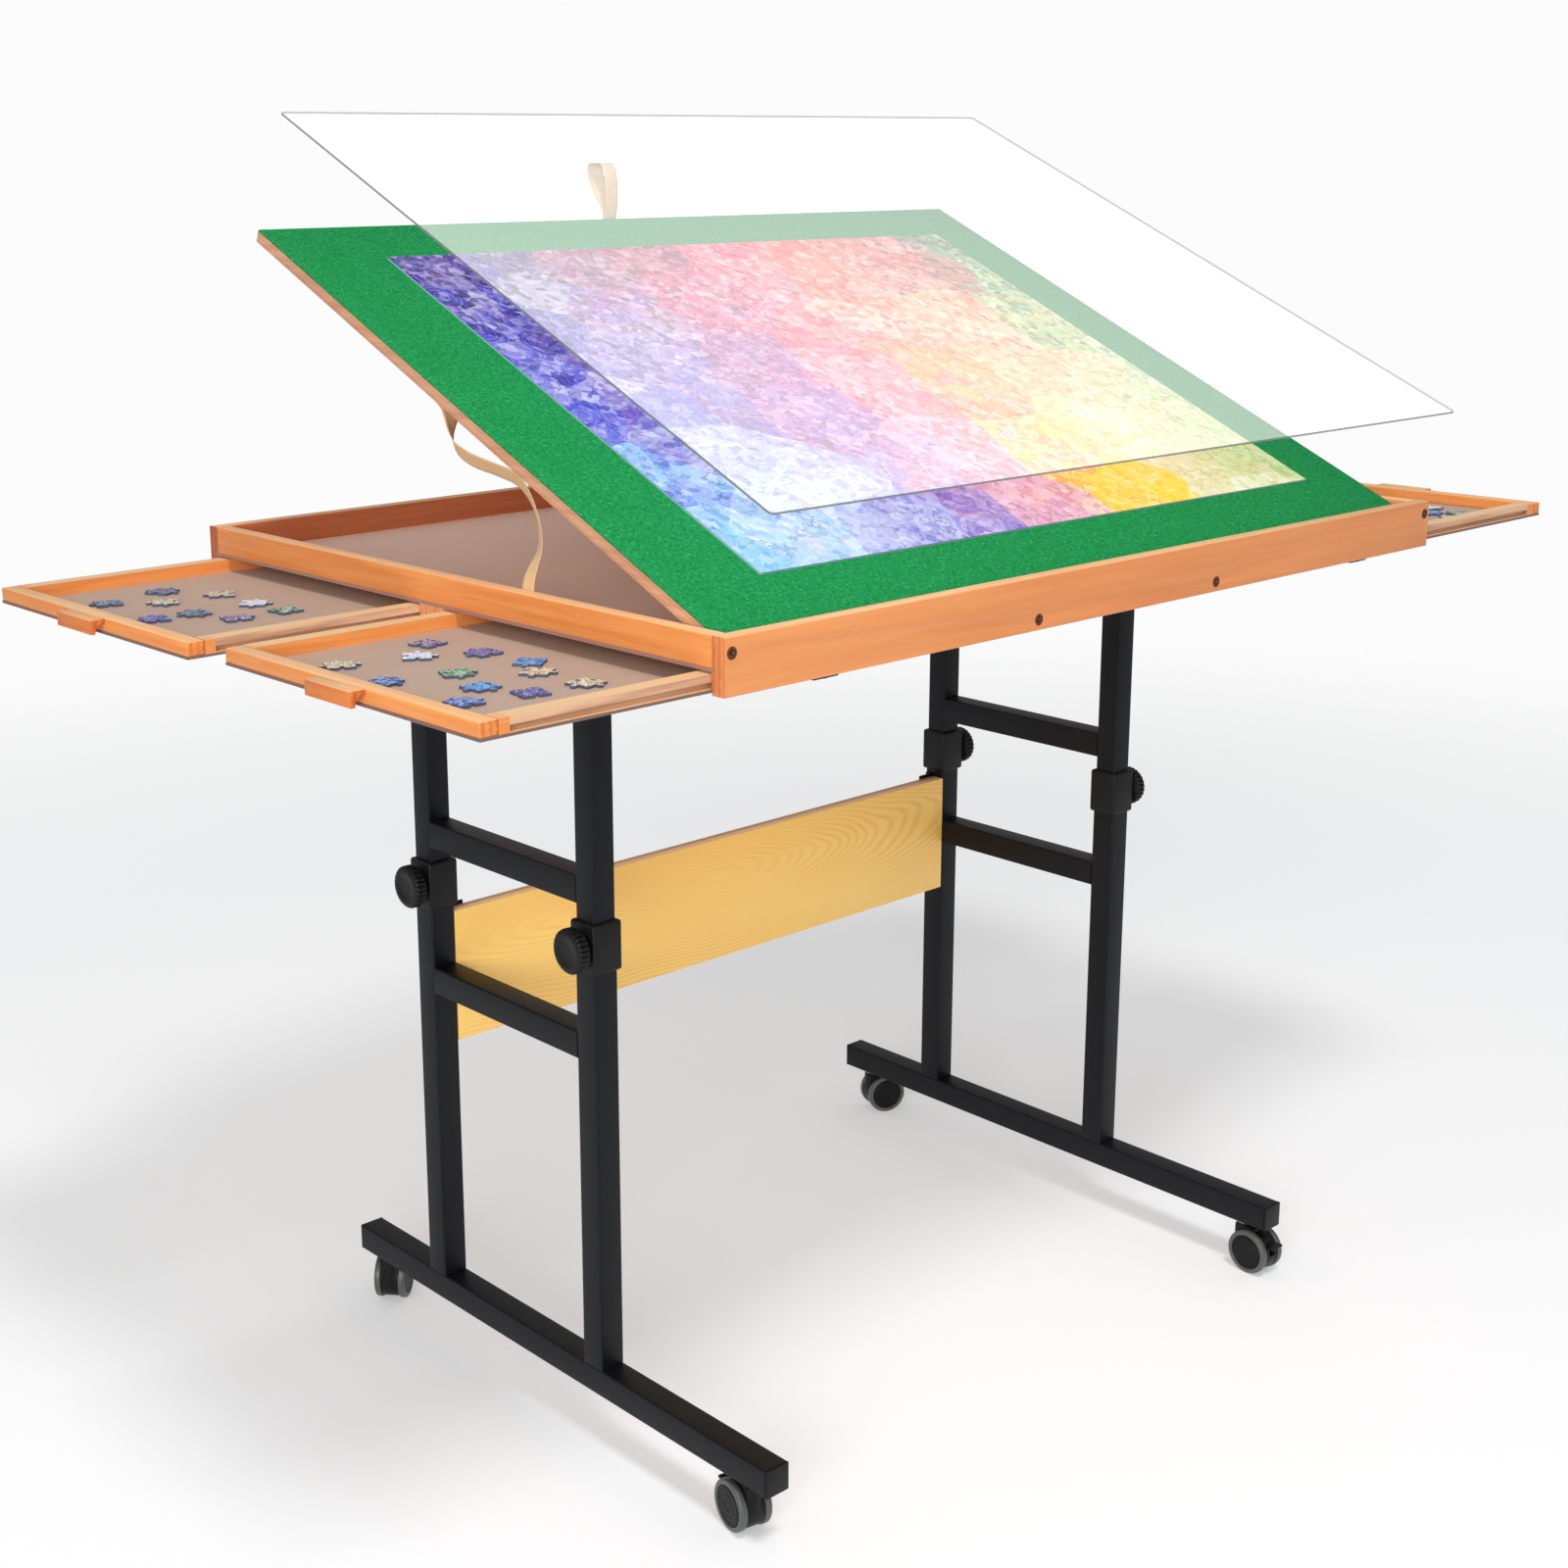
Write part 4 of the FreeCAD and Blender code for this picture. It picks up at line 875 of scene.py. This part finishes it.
COVER_LOW, COVER_TOP = PUZZLE_TOP + 0.1014, PUZZLE_TOP + 0.1034
COVER_HALF, COVER_FRONT, COVER_BACK, COVER_CORNER = 0.429, 0.0042, 0.6462, 0.003
bm = bmesh.new()
block(bm, (-COVER_HALF, COVER_FRONT, COVER_LOW), (COVER_HALF, COVER_BACK, COVER_TOP),
      COVER_CORNER, 6, 2)
bm.normal_update()
for face in bm.faces:
    up = face.normal.z
    face.material_index = 0 if up > 0.7 else 1 if up < -0.7 else 2
lay_on_board(bm)
piece("clear_cover", bm, ["clear", "clear_back", "sheet_edge"], "cover", "cover_sheet")


# ---- End frames ----

FOOT_LOW, FOOT_TOP, FOOT_HALF, CAP_THICK = 0.0494, 0.0744, 0.2861, 0.002
LOWER_TOP, COLLAR_LOW, COLLAR_TOP = 0.4771, 0.436, 0.4796
LOWER_BAR, UPPER_BAR = (0.3555, 0.3805), (0.4926, 0.5176)
UPPER_LOW, UPPER_TOP, BOX_LOW, STRAP_HALF = 0.1496, 0.7268, 0.7298, 0.335
KNOB_LEVEL, KNOB_GAP, KNOB_NECK = 0.4578, 0.0019, 0.0035
TUBE, UPPER, OUT = 0.0125, 0.0116, 0.0155
STRETCHER_LOW, STRETCHER_HIGH = (-0.3288, 0.1462, 0.3039), (0.3288, 0.1612, 0.4285)


def legs(bm, x, half, low, top, bar, edge):
    """Two legs of square tube and the crossbar between them."""
    front, back = LEG_Y
    for y in LEG_Y:
        block(bm, (x - half, y - half, low), (x + half, y + half, top), edge, 4, 2)
    block(bm, (x - half, front + half, bar[0]), (x + half, back - half, bar[1]), edge, 4, 1)


for side_name, side in SIDES.items():
    x = side * LEG_X
    bm = bmesh.new()
    block(bm, (x - TUBE, -FOOT_HALF, FOOT_LOW), (x + TUBE, FOOT_HALF, FOOT_TOP), 0.002, 4, 1)
    legs(bm, x, TUBE, FOOT_TOP, LOWER_TOP, LOWER_BAR, 0.002)
    piece(f"lower_tubes_{side_name}", bm, "steel", "base", f"lower_frame_{side_name}")
    bm = bmesh.new()
    legs(bm, x, UPPER, UPPER_LOW, UPPER_TOP, UPPER_BAR, 0.0016)
    block(bm, (x - TUBE, -STRAP_HALF, UPPER_TOP), (x + TUBE, STRAP_HALF, BOX_LOW), 0.0006, 2)
    piece(f"upper_tubes_{side_name}", bm, "steel", "table", f"upper_frame_{side_name}")

bm = bmesh.new()
for side in (-1, 1):
    for end in (-1, 1):
        x = side * LEG_X
        lows, highs = sorted((end * FOOT_HALF, end * (FOOT_HALF + CAP_THICK)))
        block(bm, (x - TUBE, lows, FOOT_LOW), (x + TUBE, highs, FOOT_TOP), 0.0012, 3)
piece("foot_caps", bm, "plastic", "base", "foot_end_plugs")

bm = bmesh.new()
for side in (-1, 1):
    for y in LEG_Y:
        x = side * LEG_X
        block(bm, (x - OUT, y - OUT, COLLAR_LOW), (x + OUT, y + OUT, COLLAR_TOP), 0.0026, 4)
        lathe(bm, [(0.0, 0.0), (0.0078, 0.0), (0.0078, 0.0165), (0.0072, 0.017), (0.0, 0.017)],
              32, turned_to((x, y, KNOB_LEVEL), (side, 0, 0)))
piece("collars", bm, "plastic", "base", "height_collars")


def ribbed_knob(bm, centre, axis):
    """Round knob with ribs round its rim and a shallow dish in its face."""
    ribs, per_rib, groove, ridge = 26, 6, 0.0012, 0.0006
    levels = [(0.0, 0.0176, 0.0), (0.0006, 0.0184, 0.4), (0.0016, 0.0189, 1.0),
              (0.0078, 0.0189, 1.0), (0.0090, 0.0186, 0.8), (0.0100, 0.0178, 0.2),
              (0.0107, 0.0166, 0.0), (0.0110, 0.0152, 0.0), (0.0110, 0.0118, 0.0),
              (0.0106, 0.0112, 0.0), (0.0105, 0.005, 0.0)]
    ring = bmesh.ops.create_circle(bm, segments=ribs * per_rib, radius=1.0)["verts"]
    edges = list({e for v in ring for e in v.link_edges})
    before = set(bm.faces)

    def shape(verts, level, radius, depth):
        for vert in verts:
            angle = math.atan2(vert.co.y, vert.co.x)
            wave = abs(math.sin(angle * ribs / 2)) ** 0.6
            reach = radius - depth * groove * (1 - wave) + depth * ridge * wave
            vert.co = (reach * math.cos(angle), reach * math.sin(angle), level)

    shape(ring, *levels[0])
    bmesh.ops.contextual_create(bm, geom=edges)
    for level in levels[1:]:
        verts, edges = drawn(bm, edges)
        shape(verts, *level)
    bmesh.ops.contextual_create(bm, geom=edges)
    settle(bm, before, turned_to(centre, axis))


for end, y in zip(ENDS, LEG_Y):
    for side_name, side in SIDES.items():
        knob = f"knob_{end}_{side_name}"
        bm = bmesh.new()
        face = LEG_X + OUT + KNOB_GAP
        axis = (side, 0, 0)
        lathe(bm, [(0.0, 0.0), (0.0098, 0.0), (0.01, 0.0004), (0.01, KNOB_NECK)], 32,
              turned_to((side * face, y, KNOB_LEVEL), axis))
        ribbed_knob(bm, (side * (face + KNOB_NECK), y, KNOB_LEVEL), axis)
        lathe(bm, [(0.0, 0.0), (0.004, 0.0), (0.004, 0.006)], 24,
              turned_to((side * (LEG_X + 0.0117), y, KNOB_LEVEL), axis))
        piece(f"clamp_{knob}", bm, "plastic", knob, knob)

bm = bmesh.new()
block(bm, STRETCHER_LOW, STRETCHER_HIGH, 0.0007, 2)
piece("stretcher_board", bm, "pine", "base", "stretcher_panel")


# ---- Casters ----

def arc(centre, radius, start, end, count):
    """Points of (radius, along) on an arc, angles in degrees from the radius."""
    points = []
    for i in range(count + 1):
        angle = math.radians(start + (end - start) * i / count)
        points.append((centre[0] + radius * math.cos(angle),
                       centre[1] + radius * math.sin(angle)))
    return points


def caster(name):
    swivel = joints[f"caster_{name}_swivel"]["pos_m"]
    roll = joints[f"caster_{name}_roll"]["axis"]
    turn = math.atan2(-roll[0], roll[1])
    place = Matrix.Translation((swivel[0], swivel[1], 0)) @ Matrix.Rotation(turn, 4, "Z")
    trail, radius, inner, outer = 0.013, 0.022, 0.0088, 0.0154
    tyre = [(0.0173, inner)] + arc((radius - 0.0010, inner + 0.0010), 0.0010, -90, 0, 4)
    tyre += arc((radius - 0.0021, outer - 0.0024), 0.0021, 0, 68, 8)
    tyre += [(reach, outer - deep) for reach, deep in (
        (0.0186, 0.0001), (0.0178, 0.0002), (0.0174, 0.0006), (0.0172, 0.0020))]
    hub = [(0.0, inner), (0.0171, inner)]
    hub += [(reach, outer - deep) for reach, deep in (
        (0.0172, 0.0014), (0.0168, 0.0006), (0.0160, 0.0003), (0.0150, 0.0003),
        (0.0146, 0.0007), (0.0140, 0.0007), (0.0136, 0.0004), (0.0102, 0.0004),
        (0.0099, 0.0007), (0.0094, 0.0007), (0.0091, 0.0004), (0.0052, 0.0004),
        (0.0048, 0.0008), (0.0042, 0.0008), (0.0038, 0.0005), (0.0, 0.0005))]
    for part, profile, finish_name, node, slot in (
            ("tread", tyre, "tyre", "tyres", "grey_tyre"),
            ("disc", hub, "gloss", "wheels", "black_plastic")):
        bm = bmesh.new()
        for side in (-1, 1):
            lathe(bm, profile, 64, turned_to((trail, 0, radius), (0, side, 0)))
        if part == "disc":
            lathe(bm, [(0.0029, -0.0095), (0.0029, 0.0095)], 24,
                  turned_to((trail, 0, radius), (0, 1, 0)))
        bmesh.ops.transform(bm, matrix=place, verts=bm.verts)
        piece(f"caster_{name}_{part}", bm, finish_name, f"wheels_{name}",
              f"caster_{name}_{node}")
    whole = f"caster_{name}"
    piece(f"{whole}_body", rounded_copy(f"{whole}_hood", 0.0008, 3, 40.0), "gloss", whole,
          f"{whole}_hood")
    if name.startswith("front"):
        piece(f"{whole}_lever", rounded_copy(f"{whole}_pedal", 0.0005, 2, 40.0), "plastic",
              f"pedal_{name}", f"{whole}_pedal")


for name in CORNERS:
    caster(name)


# ---- Ribbons ----

def smooth_line(points):
    """Points, in metres, of a smooth line led by points given in millimetres."""
    curve = bpy.data.curves.new("ribbon_line", "CURVE")
    curve.dimensions = "3D"
    spline = curve.splines.new("NURBS")
    spline.points.add(len(points) - 1)
    for point, place in zip(spline.points, points):
        point.co = (*(Vector(place) * MM), 1.0)
    spline.order_u = 3
    spline.use_endpoint_u = True
    spline.resolution_u = 6
    holder = bpy.data.objects.new("ribbon_line", curve)
    line = bpy.data.meshes.new_from_object(holder)
    points = [vert.co.copy() for vert in line.vertices]
    bpy.data.objects.remove(holder)
    bpy.data.meshes.remove(line)
    return points


RIBBON_WIDTH, RIBBON_THICK, RIBBON_STRIPS = 0.015, 0.0005, 6


def ribbon(name, stations, finish_name, body, replaced):
    """Ribbon through stations of a middle point and the way its width points, in mm."""
    sides = [smooth_line([Vector(middle) + Vector(width).normalized() * reach
                          for middle, width in stations])
             for reach in (-RIBBON_WIDTH / 2 / MM, RIBBON_WIDTH / 2 / MM)]
    line = [(low + high) / 2 for low, high in zip(*sides)]
    last = len(line) - 1
    halves, lengths = [], [0.0]
    for i, (low, high) in enumerate(zip(*sides)):
        along = line[min(i + 1, last)] - line[max(i - 1, 0)]
        width = (high - low) - along * ((high - low).dot(along) / along.length_squared)
        halves.append(width.normalized() * (RIBBON_WIDTH / 2))
        if i:
            lengths.append(lengths[-1] + (line[i] - line[i - 1]).length)
    bm = bmesh.new()
    bmesh.ops.create_grid(bm, x_segments=RIBBON_STRIPS, y_segments=last, size=1.0)
    spots = {vert: (vert.co.x, round((vert.co.y + 1) / 2 * last)) for vert in bm.verts}
    for vert, (share, row) in spots.items():
        vert.co = line[row] + halves[row] * share
    uv_layer = bm.loops.layers.uv.new("UVMap")
    for face in bm.faces:
        for loop in face.loops:
            share, row = spots[loop.vert]
            loop[uv_layer].uv = (RIBBON_WIDTH * (share + 1) / 2, lengths[row])
    made = piece(name, bm, finish_name, body, replaced, 60.0)
    solid = made.modifiers.new("thickness", "SOLIDIFY")
    solid.thickness = RIBBON_THICK
    solid.offset = 0.0
    return made


stay = (((-431.3, -107, 756), (0, -1, 0)), ((-431.3, -107, 768), (0, -1, 0)),
        ((-430.5, -107.5, 778), (-0.05, -1, 0.05)), ((-427.5, -111, 790), (-0.25, -0.95, 0.1)),
        ((-424, -115.5, 803), (-0.45, -0.88, 0.1)), ((-424, -115, 820), (-0.5, -0.84, 0.15)),
        ((-424, -108, 836), (-0.5, -0.75, 0.35)), ((-424, -97.5, 848), (-0.42, -0.5, 0.7)),
        ((-424, -84, 854.5), (-0.5, -0.3, 0.8)), ((-424, -68, 857), (-0.55, -0.15, 0.8)),
        ((-424, -52, 859.5), (-0.55, -0.1, 0.8)), ((-424, -36, 861.5), (-0.5, -0.15, 0.84)),
        ((-424, -20, 865.5), (-0.45, -0.4, 0.78)), ((-424, -9.5, 870.5), (-0.5, -0.7, 0.5)),
        ((-423.5, -4.5, 878), (-0.66, -0.7, 0.2)), ((-422.5, -2.5, 886.5), (-0.85, -0.4, 0.1)),
        ((-420.5, -0.5, 894), (-1, -0.1, 0)), ((-418.5, 4, 900.6), (-1, 0, 0)),
        ((-418, 12.5, 904.8), (-1, 0, 0)))
for side_name, side in SIDES.items():
    flip = Vector((-side, 1, 1))
    made = ribbon(f"stay_ribbon_{side_name}",
                  [(Vector(middle) * flip, Vector(width) * flip) for middle, width in stay],
                  "stay_satin", None, "stay_ribbons" if side < 0 else ())
    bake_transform(made)

ACROSS = (1, 0, 0)
TURNED = (0.78, -0.62, 0)
base = board_to_row @ Vector((0, BOARD_BACK + 0.0006, 0.0))
base_y, base_z = base.y / MM, base.z / MM
loop = ((base_y, base_z, ACROSS), (base_y - 4.2, base_z + 9, ACROSS), (257, 1036, ACROSS),
        (254.6, 1050, ACROSS), (254.4, 1066, ACROSS), (257.2, 1080, ACROSS),
        (262.4, 1084.8, ACROSS), (270, 1085.3, ACROSS), (278.6, 1083.2, TURNED),
        (279.2, 1075, TURNED), (273, 1063, TURNED), (264.8, 1051, TURNED),
        (259.4, 1040, ACROSS), (base_y - 2.9, base_z + 8.6, ACROSS),
        (base_y + 1.2, base_z + 0.6, ACROSS))
pull = ribbon("pull_loop", [((-40, y, z), width) for y, z, width in loop], "loop_satin", "board",
              "pull_ribbon")
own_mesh(pull)


# ---- Studio ----

FLOOR_RADIUS, FADE_START, FADE_END = 6.0, 1.2, 3.4
FLOOR_COLOUR, FLOOR_GLOW = (0.738, 0.75, 0.764, 1), 0.27
SEEN_LIGHT, WORLD_LIGHT = 0.97, 0.45


def studio_world():
    """White where the camera or a clear sheet looks at it, softer as a light."""
    scene.world = bpy.data.worlds.new("studio")
    world = Nodes(scene.world)
    world.tree.nodes.clear()
    seen, lit = (world.node("ShaderNodeBackground", {},
                            {"Color": (1, 1, 1, 1), "Strength": strength})
                 for strength in (SEEN_LIGHT, WORLD_LIGHT))
    rays = world.node("ShaderNodeLightPath", {}, [])
    share = rays.other("Is Camera Ray").maths("MAXIMUM", rays.other("Is Transmission Ray"))
    mixed = world.node("ShaderNodeMixShader", {}, [share, lit, seen])
    world.node("ShaderNodeOutputWorld", {}, {"Surface": mixed})


def studio_floor():
    """Pale floor that keeps the shadow and fades out far from the table."""
    mesh = bpy.data.meshes.new("floor")
    bm = bmesh.new()
    bmesh.ops.create_circle(bm, segments=96, radius=FLOOR_RADIUS, cap_ends=True)
    bm.to_mesh(mesh)
    bm.free()
    floor = placed("floor", mesh)
    mesh.materials.append(bpy.data.materials.new("studio_floor"))
    pale = Nodes(mesh.materials[0])
    pale.tree.nodes.clear()
    matt = pale.node("ShaderNodeBsdfDiffuse", {}, {"Color": FLOOR_COLOUR})
    glow = pale.node("ShaderNodeEmission", {}, {"Strength": FLOOR_GLOW})
    both = pale.node("ShaderNodeAddShader", {}, [matt, glow])
    place = pale.node("ShaderNodeTexCoord", {}, []).other("Object")
    reach = pale.node("ShaderNodeVectorMath", {"operation": "LENGTH"}, [place]).other("Value")
    clear = pale.node("ShaderNodeBsdfTransparent", {}, [])
    mixed = pale.node("ShaderNodeMixShader", {}, [reach.step(FADE_START, FADE_END), both, clear])
    pale.node("ShaderNodeOutputMaterial", {}, {"Surface": mixed})


def lamp(name, place, target, power, width, depth):
    light = bpy.data.lights.new(name, "AREA")
    light.shape = "RECTANGLE"
    light.size, light.size_y, light.energy = width, depth, power
    made = placed(name, light)
    made.location = place
    made.rotation_euler = (Vector(target) - Vector(place)).to_track_quat("-Z", "Y").to_euler()


studio_world()
studio_floor()
lamp("key", (-0.86, -1.95, 4.5), (0, 0, 0.2), 87.0, 0.9, 0.9)
lamp("fill", (-5.1, -3.3, 2.2), (0, 0, 0.5), 230.0, 3.6, 2.2)

CAMERA_PLACE = (-1.44022, -1.41929, 1.08092)
CAMERA_ANGLES = (40.815, 13.906, -0.654)
camera_data = bpy.data.cameras.new("camera")
camera = placed("camera", camera_data)
camera_data.sensor_width = 36.0
camera_data.lens = 51.018
camera_data.shift_x = 0.08316
camera_data.shift_y = -0.04276
yaw, pitch, roll = (math.radians(angle) for angle in CAMERA_ANGLES)
ahead = Vector((math.sin(yaw) * math.cos(pitch), math.cos(yaw) * math.cos(pitch),
                -math.sin(pitch)))
level = Vector((math.cos(yaw), -math.sin(yaw), 0.0))
above = level.cross(ahead)
right = level * math.cos(roll) + above * math.sin(roll)
above = above * math.cos(roll) - level * math.sin(roll)
camera.matrix_world = Matrix.Translation(CAMERA_PLACE) @ Matrix(
    (right, above, -ahead)).transposed().to_4x4()
scene.camera = camera
scene.view_settings.view_transform = "Standard"
